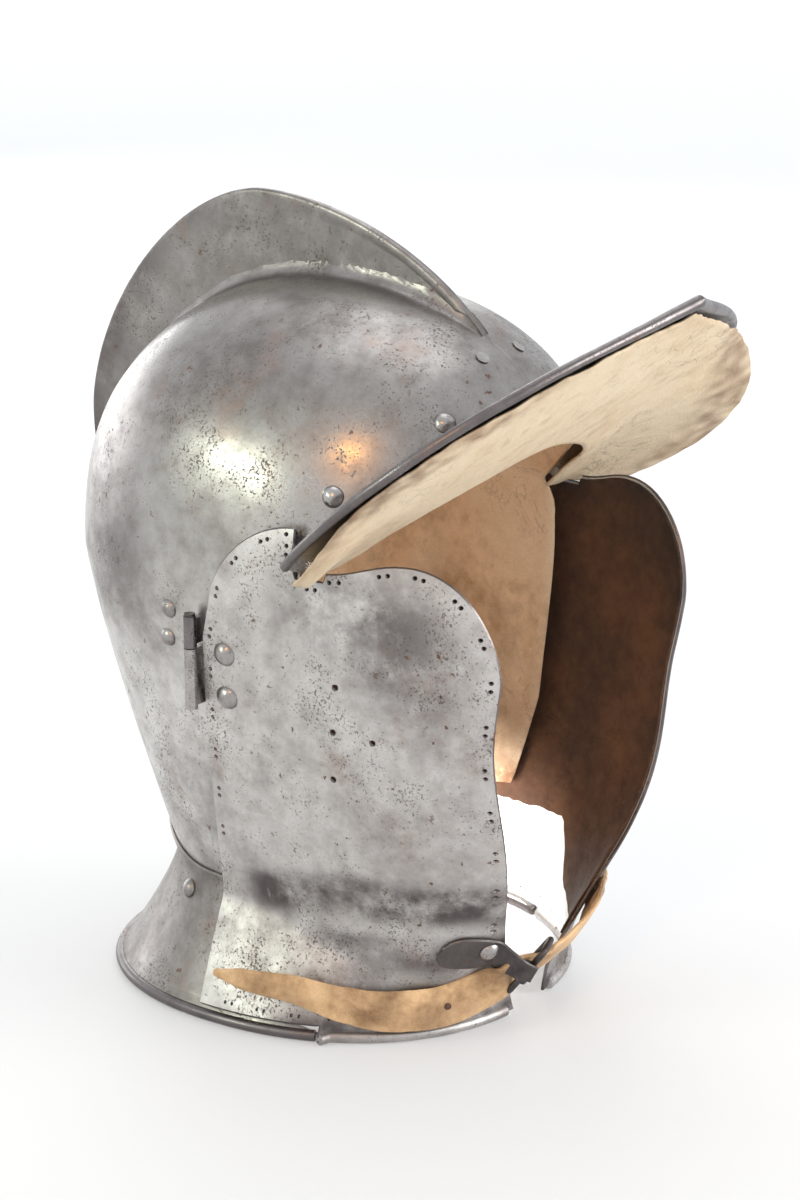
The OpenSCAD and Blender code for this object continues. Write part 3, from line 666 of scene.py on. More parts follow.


# the skull and peak steel carry the painted reflection, near-white towards the bottom
STEEL = steel("old_steel", rough=(0.23, 0.45), painted_low_reflection=0.68)
CHEEK = steel("cheek_steel", light=(0.72, 0.70, 0.68), dark=(0.36, 0.33, 0.32), rough=(0.32, 0.52),
              stains=1.17)
# painted reflection: the inside faces of the skull, nape and cheek plates are coloured near-white and barely
# metallic, standing in for the white floor reflected in the polished steel
INSIDE_PAINTED_REFLECTION = steel("inside_steel_painted_reflection", light=(0.95, 0.95, 0.94), dark=(0.8, 0.79, 0.77), rough=(0.3, 0.45),
               pits=0.25, rust=0.15, stains=0.15, metallic=0.1)
NAPE = steel("nape_steel", light=(0.36, 0.34, 0.32), dark=(0.17, 0.15, 0.14), rough=(0.26, 0.46))
ROLL = steel("dark_edge_steel", light=(0.24, 0.22, 0.22), dark=(0.10, 0.088, 0.088), rough=(0.2, 0.4),
             pits=0.6)
IRON = steel("dark_iron", light=(0.17, 0.155, 0.15), dark=(0.05, 0.045, 0.045), rough=(0.3, 0.55), rust=1.4)
RIVET = steel("rivet_steel", light=(0.50, 0.48, 0.47), dark=(0.2, 0.18, 0.17), rough=(0.2, 0.4), pits=0.7)
CREAM = leather("cream_leather", (0.70, 0.58, 0.42), (0.655, 0.53, 0.37), (0.56, 0.42, 0.275),
                (0.17, 0.09, 0.05), mottling=34)
TAN = leather("tan_leather", (0.92, 0.73, 0.52), (0.84, 0.62, 0.41), (0.46, 0.27, 0.14), (0.22, 0.11, 0.055),
              mottling=14)
BROWN = leather("brown_leather", (0.165, 0.074, 0.032), (0.10, 0.043, 0.019), (0.05, 0.022, 0.011),
                (0.014, 0.008, 0.006), rough=0.72)
STRAP = leather("strap_leather", (0.80, 0.56, 0.33), (0.66, 0.43, 0.23), (0.27, 0.155, 0.07),
                (0.12, 0.06, 0.03), mottling=40, rough=0.78)

# ---- skull ----
ROWS = ([30 + 2.2 * i for i in range(15)] + [64 + 5 * i for i in range(24)]
        + [183 + 1.9 * i for i in range(26)]
        + [WAIST + (CROWN - WAIST) * sin(radians(mix(38.5, 89.6, (i / 34) ** 0.9))) for i in range(35)])
HALF = 38


def patch(p, x, y, z, solid, size):
    """A round stain that fades out from its middle (x, y, z)."""
    return smooth(solid - (p - V(x, y, z)).length / size)


def skull_stain(p):
    dull = 0.75 * patch(p, -84, 45, 178, 1.1, 34) + 0.6 * patch(p, -78, 55, 208, 1.1, 24)
    low = 0.3 * patch(p, -70, 10, 75, 1.2, 40)
    return clamp01(dull + low + 0.25 * wobble(p, 40, 8))


def skull_row(z):
    edge = edge_angle(z)
    angles = [-90 + 90 * (i / HALF) ** 1.8 for i in range(HALF)]
    angles += [edge * (1 - (1 - i / HALF) ** 1.8) for i in range(HALF + 1)]
    row = []
    for a in angles:
        p, n = skull_at(z, a), skull_out(z, a)
        d = 0.3 * wobble(p, 34, 1) + 0.12 * wobble(p, 13, 2)
        lift = 0.0
        x = abs(p.x)
        tall = comb_height(p.y, p.z)
        if tall > 0 and z > 100:
            r = min(5.5, 0.6 * tall)
            if x < 1.6 + r:
                q = 1.6 + r - max(x, 1.6)
                lift = r - sqrt(max(0.0, r * r - q * q))
        elif x < 0.9:
            lift = -0.4 * (1 - x / 0.9)
        q = p + n * (d * smooth(x / 6) + lift)
        q.x = min(q.x, -0.05)
        row.append((q, n))
    return row


def comb_fin():
    """Right half of the comb: a plate that thickens along its front edge."""
    stations = []
    t = -58.0
    while t < 178:
        c, s = cos(radians(t)), sin(radians(t))
        reach = comb_reach(c, s)
        lo, hi = 0.0, reach + 4
        for _ in range(24):
            m = (lo + hi) / 2
            y, z = COMB_Y + c * m, COMB_Z + s * m
            side = skull_b(z) if y > 0 else skull_f(z)
            if z < CROWN and abs(y) < side:
                lo = m
            else:
                hi = m
        if reach > lo + 0.4:
            stations.append((c, s, reach, lo))
        t += 1.6
    s = Shape()
    rings = []
    for c, sn, reach, root in stations:
        tall = reach - root
        front = smooth((-c - 0.05) / 0.3) * smooth((0.995 + c) / 0.1 + 0.3)
        prof = [(1.7, root - 3), (1.7, root), (1.68, mix(root, reach, 0.25)), (1.62, mix(root, reach, 0.5)),
                (1.6, mix(root, reach, 0.75))]
        e = 1.55 + 0.35 * front
        if tall > 6:
            prof += [(1.58, reach - 4.2), (e, reach - 3.4), (e, reach - 1.7)]
        else:
            prof += [(1.58, mix(root, reach, 0.8)), (e, mix(root, reach, 0.84)), (e, mix(root, reach, 0.9))]
        prof += [(e * 0.92, reach - 0.95), (e * 0.72, reach - 0.4), (e * 0.4, reach - 0.1),
                 (0.05, reach - 0.25), (0.05, root - 3)]
        ring = []
        for x, d in prof:
            p = V(-x, COMB_Y + c * d, COMB_Z + sn * d)
            if x > 0.1:
                p.x -= 0.12 * wobble(p, 16, 4) + 0.06 * wobble(p, 6, 9)
            stain = (0.35 + 0.3 * wobble(p, 30, 7)
                     + 0.6 * smooth((d - reach + 14) / 14) * smooth((c + 0.35) / 0.6))
            ring.append(s.point(p, clamp01(stain)))
        rings.append(ring)
    m = len(rings[0])
    for a, b in zip(rings, rings[1:]):
        for j in range(m):
            s.face((a[j], a[(j + 1) % m], b[(j + 1) % m], b[j]))
    s.face(rings[0])
    s.face(rings[-1][::-1])
    return s


half = sheet([skull_row(z) for z in ROWS], SKULL_T, inner_mat=1, stain=skull_stain).add(comb_fin())
half.make("skull_right_plate", "skull", [STEEL, INSIDE_PAINTED_REFLECTION], ["skull_right"], angle=50, slot="steel")
half.mirrored().make("skull_left_plate", "skull", [STEEL, INSIDE_PAINTED_REFLECTION], ["skull_left"], angle=50, slot="steel")

# ---- skull lining ----
LINE_ROWS = [60 + 4.0 * i for i in range(32)] + [186 + 2.4 * i for i in range(22)] + [
    WAIST + (CROWN - WAIST) * sin(radians(mix(44.5, 82, i / 14))) for i in range(15)]


def lining_row(z):
    if z >= TEMPLE - 4:
        edge = min(89.3, edge_angle(z + 1.5) + 1.0)
    else:
        edge = mix(front_angle(z, -49 + 8 * clamp01((95 - z) / 35)), edge_angle(TEMPLE) + 1.0,
                   smooth((z - 168) / 14))
    row = []
    cols = 64
    for side in (1, -1):
        for i in range(cols + 1) if side == 1 else range(cols - 1, -1, -1):
            a = mix(edge, -90, i / cols)
            p, n = skull_at(z, a), skull_out(z, a)
            around = a * 1.3 * side
            fold = noise.noise(V(around / 9, z / 120, 3 * side)) + 0.5 * noise.noise(V(around / 4, z / 60, 7))
            free = smooth((i / cols) * 6) * smooth((z - 58) / 10) * smooth((262 - z) / 20)
            snug = 1.5 * (1 - smooth((i / cols) * 9)) * (z < TEMPLE)
            broad = noise.noise(V(around / 17, z / 190, 5 + side))
            slack = free * (2.0 + 1.5 * fold + 2.4 * broad)
            q = p - n * (SKULL_T + 2.9 - snug + slack + 0.5 * wobble(p, 18, 6))
            if z < 62:
                q.z += 1.6 * wobble(p, 12, 11)
            row.append((flip(q), flip(n)) if side == 1 else (q, n))
    return row


def lining_stain(p):
    near_edge = smooth((74 - p.z) / 14) * 0.7 + 0.55 * smooth((125 - p.z) / 50) * smooth((-p.y - 5) / 25)
    brow = smooth((-p.y - 62) / 26) * 0.35
    return clamp01(near_edge + brow + 0.55 * smooth(0.12 + 1.1 * wobble(V(p.x, p.y, p.z * 0.3), 24, 5)))


lining = sheet([lining_row(z) for z in LINE_ROWS], 1.6, stain=lining_stain)
skull_lining = lining.make("skull_lining_leather", "skull", [TAN], ["skull_lining"], angle=60,
                           slot="tan_leather")

# ---- nape plate ----
nape_rows = []
for k in [0.035 + 0.965 * i / 26 for i in range(27)]:
    row = []
    for c in range(-60, 61):
        a = mix(-90, 5 + 22 * (1 - smooth((k - 0.1) / 0.03)), abs(c) / 60)
        z = nape_top(a) * k
        p, n = skull_off(z, a, 0.15 + PLATE_T), skull_out(z, a)
        p.z = z
        p += n * (0.22 * wobble(p, 24, 3) * smooth(k * 5))
        row.append((p, n) if c > 0 else (flip(p), flip(n)))
    nape_rows.append(row)


def nape_stain(p):
    return clamp01(0.55 * smooth((10 - p.z) / 8) + 0.35 * smooth((p.z - 44) / 8) + 0.35 * wobble(p, 22, 4))


def roll_path(a):
    """Middle of the nape plate's rolled rim at angle a."""
    p = skull_off(2.3, a, 0.15 + PLATE_T / 2)
    return V(p.x, p.y, 2.25)


path = [flip(roll_path(a)) for a in [27 - 117 * i / 70 for i in range(70)]] + [
    roll_path(a) for a in [-90 + 117 * i / 70 for i in range(71)]]
nape = sheet(nape_rows, PLATE_T, inner_mat=1, stain=nape_stain)
ring = tube(path, lambda k: 2.2, segs=14, stain=0.5)
ring.m = [2] * len(ring.m)
nape.add(ring).make("nape_plate_steel", "skull", [NAPE, INSIDE_PAINTED_REFLECTION, ROLL], ["nape_plate"], slot="steel")

# ---- cheek plates ----
hearing = [(143, -59, 1.35), (125, -56, 1.35), (106, -54, 1.3), (123, -71, 1.25)]
holes = [((y - rear_y(z)) / (front_y(z) - rear_y(z)), z, r) for z, y, r in hearing]


def u_of(y):
    return (y - rear_y(160)) / (front_y(160) - rear_y(160))


lobe_u, notch_u, corner_u = u_of(LOBE_Y), u_of(NOTCH_Y), u_of(CORNER_Y)
# outline of the whole plate in (u, z): rim, front edge, top, rear edge
outline = [(0, 7.6), (OVERLAP_U, 7.6), (OVERLAP_U + 0.008, 1.6), (1, 1.6)]
outline += [(1, 149)]
outline += [(u, top_z(col_y(160, u))) for u in [
    1 - (1 - corner_u) * (1 - cos(radians(6 * i))) for i in range(1, 16)]]
outline += [(mix(corner_u, notch_u, i / 8), top_z(mix(CORNER_Y, NOTCH_Y, i / 8) - 0.01)) for i in range(1, 9)]
outline += [(notch_u - 0.01, NOTCH_Z), (lobe_u + 0.012, NOTCH_Z),
            (lobe_u + 0.004, 184), (lobe_u + 0.002, 196)]
outline += [(lobe_u * cos(radians(6 * i)), top_z(LOBE_Y + 38.99 * (1 - cos(radians(6 * i)))))
            for i in range(15)]
outline += [(0, 154)]


def along_outline(points, inset, every, pair, start):
    """Pairs of stitch holes along a line of (u, z), inset towards the plate's middle."""
    spots, run = [], start
    flat = [(u * 110, z) for u, z in points]
    for (a, b), (c, d) in zip(flat, flat[1:]):
        length = hypot(c - a, d - b)
        if length == 0:
            continue
        nx, nz = -(d - b) / length, (c - a) / length
        at = run
        while at < length:
            k = at / length
            spots.append(((mix(a, c, k) + nx * inset) / 110, mix(b, d, k) + nz * inset))
            at += pair if len(spots) % 2 else every - pair
        run = at - length
    return spots


front = along_outline([(1, 24)] + outline[4:20], 2.6, 17, 3.3, 4)
rim_line = along_outline([(0.06, 7.6), (OVERLAP_U, 7.6), (0.94, 7.6)], 2.4, 15.5, 3.3, 6)
back = along_outline(outline[28:] + [(0, 60)], 2.8, 16.5, 3.1, 3)
top = along_outline(outline[19:28], 2.6, 18, 3.3, 6)
for u, z in front + back + top:
    if all(hypot((u - a) * 110, z - b) > 2.4 for a, b, _ in holes) and 0.012 < u < 0.99:
        holes.append((u, z, 0.85))
for u, z in rim_line:
    if all(hypot((u - a) * 110, z - b) > 2.4 for a, b, _ in holes):
        holes.append((u, z, 0.7))


def cheek_stain(p):
    crease = crease_z(min(p.y, 0))
    band = (smooth(1.25 - abs(p.z - 51 - 6 * smooth(-p.y / 60)) / 11) * smooth((-p.y - 2) / 16)
            * (1.15 + 0.4 * wobble(p, 25, 12)))
    flange = smooth((max(crease, 46) - p.z) / 8) * mix(0.4, 0.8, smooth((-p.y - 15) / 30)) * (
        0.8 + 0.7 * wobble(V(p.x, p.y, p.z * 3), 22, 6))
    dull = 0.8 * patch(p, -79, -82, 160, 1.25, 30) + 0.55 * patch(p, -86, -52, 178, 1.2, 26)
    low = 0.3 * smooth((9 - p.z) / 5)
    return clamp01(max(0.95 * band, flange) + dull + low + 0.16 * wobble(p, 18, 2))


cheek = plate(outline, holes, cheek_surface, PLATE_T, inner_mat=1, edge_mat=2, stain=cheek_stain)
rim_path = []
for i in range(50):
    u = mix(OVERLAP_U + 0.012, 0.995, i / 49)
    p = cheek_surface(u, 2.4)
    n = (cheek_surface(u + 0.004, 2.4) - cheek_surface(u - 0.004, 2.4)).cross(V(0, 0, 1)).normalized()
    rim_path.append(V(p.x - n.x * 0.7, p.y - n.y * 0.7, 2.3))
rim_roll = tube(rim_path, 2.25, stain=0.3)
rim_roll.m = [3] * len(rim_roll.m)
cheek.add(rim_roll)
mats = [CHEEK, INSIDE_PAINTED_REFLECTION, ROLL, CHEEK]
cheek.make("cheek_plate_right_steel", "right_cheek", mats, ["cheek_plate_right"], slot="steel")
cheek.mirrored().make("cheek_plate_left_steel", "left_cheek", mats, ["cheek_plate_left"], slot="steel")


def lining_edge(u):
    y = col_y(40, u)
    return max(plate_z(u, 0.03), mix(21, 52, smooth((y + 82) / 20)))


def ragged(u, z, amount=0.9):
    return amount * noise.noise(V(u * 26, z / 5, 1.3)) + 0.5 * amount * noise.noise(V(u * 70, z / 2.2, 4.1))


inner = [(mix(0.02, 0.995, i / 40), lining_edge(mix(0.02, 0.995, i / 40)) + ragged(i, 3)) for i in range(41)]
inner += [(0.995, 60), (0.995, 100), (0.995, 147)]
inner += [(u, mix(plate_z(u, 0), top_z(col_y(160, u)), 0.994)) for u in [
    0.995 - (0.995 - corner_u) * (1 - cos(radians(7.5 * i))) for i in range(1, 13)]]
inner += [(mix(corner_u, notch_u, i / 8), top_z(mix(CORNER_Y, NOTCH_Y, i / 8) - 0.01) - 0.9)
          for i in range(1, 9)]
inner += [(notch_u - 0.01, 180.7), (lobe_u - 0.01, 180.7), (lobe_u - 0.012, 195)]
inner += [(lobe_u * cos(radians(8 * i)) * 0.97 + 0.012,
           top_z(LOBE_Y + 38.99 * (1 - cos(radians(8 * i)))) - 0.9) for i in range(1, 10)]
inner += [(0.1, 170), (0.19, 164), (0.19, 118), (0.03, 117), (0.02, 70)]


def lining_surface(u, z):
    y = col_y(z, u)
    return cheek_pt(z, y) - cheek_out(z, y) * (PLATE_T + 0.1)


def cheek_lining_stain(p):
    front = smooth((-p.y - 96) / 26) * smooth((p.z - 60) / 30)
    top = smooth((p.z - top_z(p.y) + 14) / 13)
    return clamp01(0.85 * front + 0.8 * top + 0.6 * smooth(0.2 + wobble(p, 30, 4))
                   + 0.35 * smooth((60 - p.z) / 20))


cheek_leather = plate(inner, [], lining_surface, 1.15, spacing=3, stain=cheek_lining_stain, dent=0.05)
lining_r = cheek_leather.make("cheek_lining_right_leather", "right_cheek", [BROWN], ["cheek_lining_right"],
                              slot="brown_leather")
lining_l = cheek_leather.mirrored().make("cheek_lining_left_leather", "left_cheek", [BROWN],
                                         ["cheek_lining_left"], slot="brown_leather")

# ---- peak ----
rows = []
for rise in (16, 9, 3, -2.4):
    row = []
    for i in range(-40, 41):
        f = mix(1, 0.055, abs(i / 40))
        z, a = brow_height(f) + rise, min(90, brow_a(f))
        p, n = skull_off(z, a, -SKULL_T - 0.9), skull_out(z, a)
        row.append((p, n) if i > 0 else (flip(p), flip(n)))
    rows.append(row)
for i in range(25):
    k = mix(0.06, 0.985, i / 24)
    row = []
    for j in range(-64, 65):
        g = j / 64
        up = peak_up(g, k)
        p = peak_at(g, k) + up * (0.7 + 0.35 * wobble(peak_at(g, k), 22, 6) * smooth(k * 3))
        row.append((p, up))
    rows.append(row)
# both parts share columns from the left temple to the right
span = len(rows[4])
for r in range(4):
    old = rows[r]
    new = []
    for j in range(span):
        x = j * (len(old) - 1) / (span - 1)
        i = min(int(x), len(old) - 2)
        new.append((old[i][0].lerp(old[i + 1][0], x - i), old[i][1].lerp(old[i + 1][1], x - i).normalized()))
    rows[r] = new
peak = sheet(rows, PLATE_T, stain=lambda p: clamp01(0.3 + 0.5 * wobble(p, 30, 9)))
edge_path = [peak_at(j / 90, 0.975) + peak_up(j / 90, 0.975) * (0.15 * wobble(peak_at(j / 90, 1), 14, 2))
             for j in range(-90, 91)]
edge = tube(edge_path, lambda k: 1.85 + 0.5 * smooth(1.3 - abs(k - 0.47) / 0.12), segs=16, stain=0.4)
edge.m = [1] * len(edge.m)
peak.add(edge).make("peak_steel", "skull", [STEEL, ROLL], ["peak"], slot="steel")

# leather under the peak: it has come away from the steel along the far edge and at the near end
under = []
for i in range(40):
    row = []
    for j in range(-96, 97):
        g = j / 96 * 0.985
        far = smooth((-g - 0.05) / 0.5)
        tip = smooth((g - 0.72) / 0.25)
        low = clamp01(1 - ((g + 0.74) / 0.34) ** 2)
        edge_in = (mix(0.93, 0.96, far) + 0.018 * noise.noise(V(g * 9, 2.2, 0))
                   + 0.014 * noise.noise(V(g * 31, 5.1, 0)))
        tucked = mix(4.5, 10, smooth((abs(g) - 0.5) / 0.4))  # mm past the peak's root, into the skull
        k = mix(0.035 - tucked / (peak_at(g, 1) - peak_at(g, 0)).length, edge_in, i / 39)
        p, up = peak_at(g, k), peak_up(g, k)
        sag = (6 * far + 15 * low) * smooth((k - 0.15) / 0.95) + 5.5 * tip * smooth((k - 0.15) / 0.6)
        crumple = 0.7 * wobble(p, 11, 3) * smooth((k - 0.6) / 0.35) + 0.4 * wobble(p, 24, 8)
        row.append((p - up * (1.15 + 0.4 + sag + abs(crumple)), up))
    under.append(row)


def peak_leather_stain(p):
    ring = 0.0
    d = hypot(p.x / 104, (p.y + 42) / 112)
    ring = smooth((d - 0.93) / 0.09)
    return clamp01(0.7 * ring * (0.6 + wobble(p, 6, 3)) + 0.25 * smooth((wobble(p, 5, 6) - 0.3) / 0.3))


peak_leather = sheet(under, 1.15, stain=peak_leather_stain)
peak_lining = peak_leather.make("peak_lining_leather", "skull", [CREAM], ["peak_lining"], angle=60,
                                slot="cream_leather")

# ---- rivets ----
peak_rivets, nape_rivets, leaf_rivets = Shape(), Shape(), Shape()
for z, y, d, r, h, group in [(209, -51, 0, 4, 2.4, peak_rivets), (233, -77, 0, 4, 2.4, peak_rivets),
                             (40, 26, 0.15 + PLATE_T, 3.7, 2.1, nape_rivets),
                             (160, 14, 0, 3.6, 2.1, leaf_rivets), (148.5, 16, 0, 3.6, 2.1, leaf_rivets)]:
    a = skull_angle(z, y)
    one = rivet(skull_off(z, a, d), skull_out(z, a), r, h)
    group.add(one).add(one.mirrored())
peak_rivets.make("peak_rivet_heads", "skull", [RIVET], ["peak_rivets"], slot="steel")
nape_rivets.make("nape_rivet_heads", "skull", [RIVET], ["nape_rivets"], slot="steel")
leaf_rivets.make("skull_hinge_rivet_heads", "skull", [RIVET], ["skull_hinge_rivets"], slot="steel")
hinge = Shape()
for z, y in ((148.3, -13.7), (131, -12.5)):
    hinge.add(rivet(cheek_pt(z, y), cheek_out(z, y), 4.6, 2.5))
hinge.make("cheek_hinge_rivet_heads_right", "right_cheek", [RIVET], ["cheek_hinge_rivets_right"],
           slot="steel")
hinge.mirrored().make("cheek_hinge_rivet_heads_left", "left_cheek", [RIVET], ["cheek_hinge_rivets_left"],
                      slot="steel")

# ---- buckle ----
BAR = V(-24.1, -102.7, 24.7)
bar_dir = V(0.15, -0.6, 0.8).normalized()
bar_y = bar_dir.cross(V(0.943, 0.327, 0.062).normalized()).normalized()
bar_x = bar_y.cross(bar_dir)


def bar_pt(x, y, z):
    return BAR + bar_x * x + bar_y * y + bar_dir * z


RING_LEN, REACH = 23, 12
corners = [(0, -1), (1, -1), (1, 1), (0, 1)]
path = []
for q, (sx, sz) in enumerate(corners):
    cx = 2.2 if sx == 0 else REACH - 2.2
    cz = sz * (RING_LEN / 2 - 2.2)
    for i in range(7):
        t = radians(180 + 90 * q + 15 * i)
        path.append(bar_pt(cx + 2.2 * cos(t), 0, cz + 2.2 * sin(t)))
tube(path, 1.3, segs=14, closed=True, stain=0.4).make("buckle_ring_iron", "ring", [IRON], ["buckle_ring"],
                                                     slot="dark_iron")
tongue = [(50, 36.5, 2.6, 0), (48.6, 36.4, 5.0, 0), (46, 36.3, 6.2, 0), (42, 35.7, 6.3, 0), (38, 35, 6, 0),
          (33, 33.8, 5, 0), (29.8, 33, 4.4, 4.6), (26.8, 32.3, 3.8, 9), (22.5, 30.5, 3.4, 11.2)]
grid = []
for v in [-1, -0.8, -0.4, 0, 0.4, 0.8, 1]:
    line = []
    for x, m, half_w, lift in tongue:
        p = cheek_by_x(m + v * half_w, x)
        n = cheek_out(p.z, p.y)
        line.append(p + n * (lift + 1.45))
    line = spline(line, 4)
    grid.append(line)
rows = []
for r in range(len(grid)):
    row = []
    for c in range(len(grid[0])):
        a = grid[min(r + 1, len(grid) - 1)][c] - grid[max(r - 1, 0)][c]
        b = grid[r][min(c + 1, len(grid[0]) - 1)] - grid[r][max(c - 1, 0)]
        n = b.cross(a).normalized()
        if n.dot(V(-0.4, -1, 0)) < 0:
            n = -n
        row.append((grid[r][c], n))
    rows.append(row)
chape = sheet(rows, 1.25, stain=lambda p: 0.3 + 0.4 * wobble(p, 7, 2))
chape.add(lathe([(1.4, 4), (2.5, 4), (2.7, 3.8), (2.7, -3.8), (2.5, -4), (1.4, -4)], BAR, bar_dir, stain=0.4))
chape.make("buckle_chape_iron", "right_cheek", [IRON], ["buckle_chape"], slot="dark_iron")
p, n = cheek_pt(36, -94), cheek_out(36, -94)
rivet(p + n * 1.6, n, 4, 2.2, 3.2).make("chape_rivet_head", "right_cheek", [RIVET], ["chape_rivet"],
                                        slot="steel")


# ---- straps ----
def strap(stations, taper, wave, thick=1.6, width=15.0):
    centre = spline([p for p, _ in stations], 6)
    across = [d.normalized() for d in spline([d for _, d in stations], 6)]
    n = len(centre)
    rows = [[] for _ in range(13)]
    for i in range(n):
        run = centre[min(n - 1, i + 1)] - centre[max(0, i - 1)]
        k = i / (n - 1)
        d = (across[i] - run.normalized() * across[i].dot(run.normalized())).normalized()
        face = run.cross(d).normalized()
        half_w = width / 2 * taper(k)
        for j in range(13):
            v = -1 + j / 6
            cup = wave * (v * v - 0.4) + 0.25 * wobble(centre[i] + d * (v * 7), 9, 5)
            ragged_edge = 1 + 0.035 * noise.noise(V(i / 3, v, 2)) * (abs(v) > 0.8)
            rows[j].append((centre[i] + d * (half_w * v * ragged_edge) + face * (cup + thick / 2), face))
    return rows


def strap_stain(p):
    return clamp01(0.28 + 0.55 * wobble(p, 12, 4))


def tail_surface(u, z):
    top = plate_z(u, 0)
    c = cheek_pt(top, col_y(top, u))
    q = c.lerp(rim_pt(u, mix(4.7, 0.6, smooth((u - OVERLAP_U) / 0.14))), pow(max(0, 1 - z / top), 0.9))
    return V(q.x, q.y, z)


def tail_at(u):
    z = 12.5 + 7 * smooth((0.75 - u) / 0.4) + 5 * smooth((u - 0.86) / 0.14)
    a = tail_surface(u - 0.02, z) - tail_surface(u + 0.02, z)
    n = V(-a.y, a.x, 0.25 * a.length).normalized()
    return tail_surface(u, z) + n * 3.2


def tail_taper(s):
    if s < 0.4:
        return 1
    if s < 0.9:
        return mix(1, 0.5, (s - 0.4) / 0.5)
    return mix(0.5, 0.12, (s - 0.9) / 0.1)


tail = [(bar_pt(*q), bar_dir) for q in ((18.5, -4, 0), (12, -3.2, -0.8), (6, 0.2, -1.8), (0, 4.2, -3))]
tail += [(V(-31, -93.5, 20), V(0.12, -0.25, 0.95))]
tail += [(tail_at(0.9 - 0.06 * i), V(0, mix(0.25, 0.1, 0.9 - 0.06 * i), 1)) for i in range(15)]
rows = strap(tail, tail_taper, 0.35)
free_end = sheet(rows, 1.6, stain=strap_stain, round_edge=0.3)
# painted shade: a dark brown disc set into the strap tail stands in for the shaded hole through it
a = tail_surface(0.87, 13) - tail_surface(0.91, 13)
n = V(-a.y, a.x, 0.25 * a.length).normalized()
hole_shade_disc = lathe([(0.05, 0.2), (1.1, 0.2), (1.35, 0.05), (1.35, -0.5), (0.05, -0.5)],
             tail_surface(0.89, 13) + n * 4.05, n)
hole_shade_disc.m = [1] * len(hole_shade_disc.m)
free_end.add(hole_shade_disc).make("strap_tail_leather", "right_cheek", [STRAP, BROWN], ["strap_tail"], angle=50,
                        slot="tan_leather")
near_end = []
for x in (47, 41, 35, 30):
    q = cheek_by_x(36, x)
    near_end.append(flip(q + cheek_out(36, q.y) * 1.9))
near_end += [V(22, -101, 31), V(14, -101.6, 28.4), V(6, -101, 26.2), V(0, -100.4, 24.6), V(-4.9, -99.8, 23.7)]
chin = [(q, bar_dir.lerp(V(0.12, -0.58, 1), smooth((q.x + 5) / 30))) for q in near_end]
rows = strap(chin, lambda s: mix(1, 0.96, s), 0.15)
sheet(rows, 1.6, stain=strap_stain, round_edge=0.3).make("chin_strap_leather", "left_cheek", [STRAP],
                                                        ["chin_strap"], angle=50, slot="tan_leather")
p, n = cheek_pt(36, -94), cheek_out(36, -94)
rivet(p + n * 2.8, n, 4, 2.2, 4.2).mirrored().make("strap_rivet_head", "left_cheek", [RIVET], ["strap_rivet"],
                                                  slot="steel")

# ---- nodes that keep their CAD shape ----
for name, mat in [("seam_tab", STEEL), ("seam_rivets", RIVET), ("skull_hinge_leaf_right", ROLL),
                  ("skull_hinge_leaf_left", ROLL), ("cheek_hinge_leaf_right", RIVET),
                  ("cheek_hinge_leaf_left", RIVET), ("hinge_pin_right", IRON), ("hinge_pin_left", IRON)]:
    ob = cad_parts[name]
    ob.data.materials.clear()
    ob.data.materials.append(mat)

# ---- stage, lights, camera ----
floor = Graph("pale_floor")
tone = floor.noise(3, 3)
reach = floor.node("VectorMath", {0: floor.where}, operation="LENGTH").outputs["Value"]
away = floor.band(reach, 0.5, 3.5)
near = floor.ramp(tone, [(0.3, (0.40, 0.40, 0.405)), (0.7, (0.42, 0.42, 0.425))])
FLOOR = floor.finish(Base_Color=floor.blend(away, near, (0.9, 0.9, 0.905)), Roughness=0.6,
                     Specular_IOR_Level=0.1, Emission_Color=(0.97, 0.985, 1.0, 1),
                     Emission_Strength=floor.band(reach, 0.5, 3.5, 0.34, 0.13))
# the floor is flat out to 6 m and then turns up into a wall; radius and height in metres
profile = [(0, 0), (0.6, 0), (1.2, 0), (2.5, 0), (4.5, 0), (6.0, 0), (7.0, 0.1), (7.8, 0.5), (8.2, 1.2),
           (8.3, 2.4), (8.3, 4.5)]
SIDES = 96
bm = bmesh.new()
rings = []
for r, z in profile:
    turns = [2 * pi * i / SIDES for i in range(SIDES)] if r else [0]
    rings.append([bm.verts.new((r * cos(t), r * sin(t), z - 0.0002)) for t in turns])
for a, b in zip(rings, rings[1:]):
    for i in range(SIDES):
        j = (i + 1) % SIDES
        bm.faces.new((a[0], b[i], b[j]) if len(a) == 1 else (a[i], b[i], b[j], a[j]))
me = bpy.data.meshes.new("floor")
bm.to_mesh(me)
bm.free()
me.materials.append(FLOOR)
me.shade_smooth()
ground = bpy.data.objects.new("floor", me)
bpy.context.scene.collection.objects.link(ground)

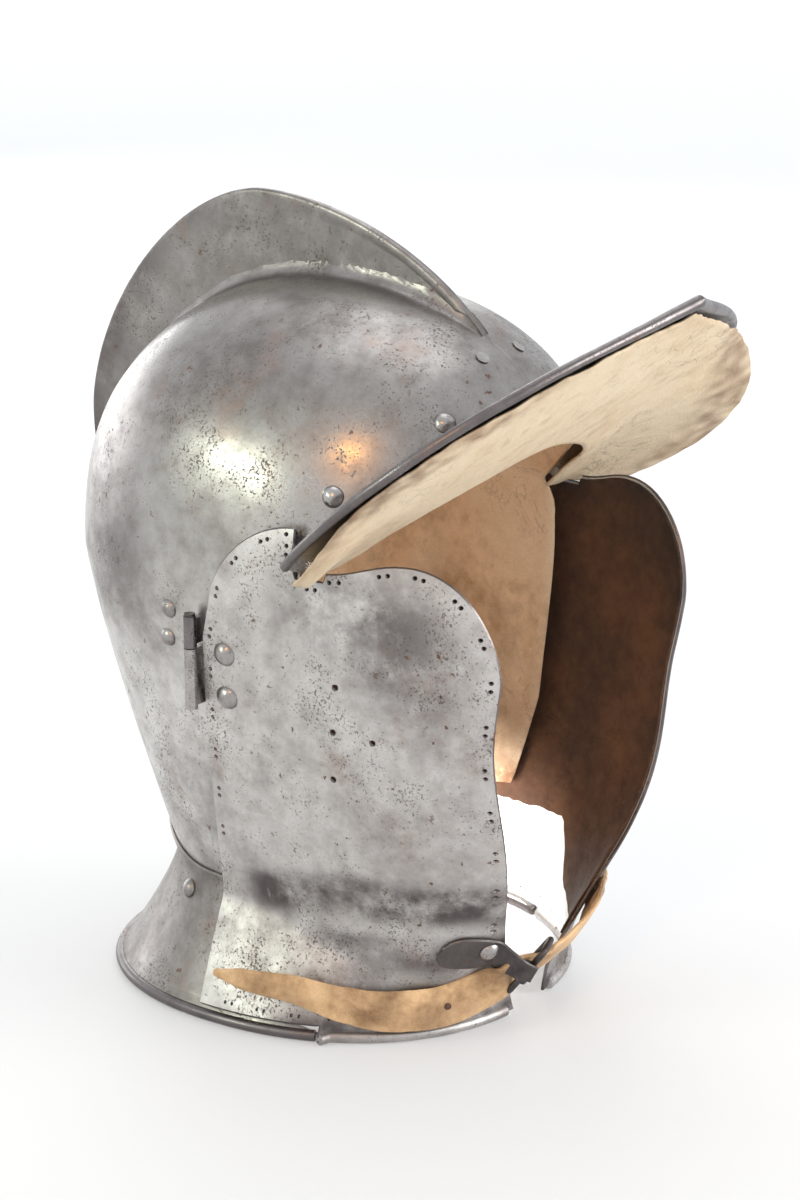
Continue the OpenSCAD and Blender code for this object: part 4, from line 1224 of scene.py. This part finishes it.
scene = bpy.context.scene
scene.view_settings.view_transform = "Standard"
scene.view_settings.look = "None"
world = bpy.data.worlds.new("studio")
scene.world = world
world.use_nodes = True
world.node_tree.nodes["Background"].inputs["Color"].default_value = (0.93, 0.96, 1.0, 1)
world.node_tree.nodes["Background"].inputs["Strength"].default_value = 1.02


def area(name, direction, distance, size, power, colour=(1, 1, 1), roll=0, centre=(0, 0, 0.16)):
    d = Vector(direction).normalized()
    data = bpy.data.lights.new(name, "AREA")
    data.shape = "RECTANGLE"
    data.size, data.size_y = size
    data.energy = power
    data.color = colour
    ob = bpy.data.objects.new(name, data)
    ob.location = Vector(centre) + d * distance
    ob.rotation_euler = ((-d).to_track_quat("-Z", "Y") @ Quaternion((0, 0, 1), radians(roll))).to_euler()
    scene.collection.objects.link(ob)
    return ob


area("window", (-0.82, 0.44, 0.37), 1.5, (0.55, 0.15), 5.5, (0.90, 1.0, 0.80), roll=-31)
area("back", (0.25, 0.95, 0.10), 1.9, (1.7, 0.7), 9)
area("top", (0.3, 0.1, 1), 1.7, (1.2, 1.2), 7)
area("front", (0.35, -1, 0.3), 1.5, (1.0, 0.8), 17, (1.0, 0.98, 0.94))
area("warm", (-0.80, -0.23, 0.55), 1.3, (0.045, 0.17), 2.2, (1.0, 0.44, 0.07), roll=25)
area("far", (0.8, 0.65, 0.5), 1.7, (0.9, 0.9), 8, (0.97, 1.0, 0.95))

# a small lamp in the neck, for the inside of the far flange, whose near-white colour is a painted reflection
inside = area("inside", (-0.9, -0.15, 0.40), 0.085, (0.05, 0.05), 0.11, (1.0, 0.98, 0.95),
              centre=(0.082, 0.0, 0.018))
inside.data.spread = radians(80)
inside.visible_camera = False
inside.visible_glossy = False

cam_data = bpy.data.cameras.new("camera")
cam_data.sensor_fit = "VERTICAL"
cam_data.sensor_height = 24
cam_data.lens = 12 / tan(radians(11))
cam = bpy.data.objects.new("camera", cam_data)
cam.location = (-0.91318, -0.65200, 0.48433)
aim = Vector((0.012468, -0.001616, 0.145261)) - cam.location
cam.rotation_euler = aim.to_track_quat("-Z", "Y").to_euler()
scene.collection.objects.link(cam)
scene.camera = cam
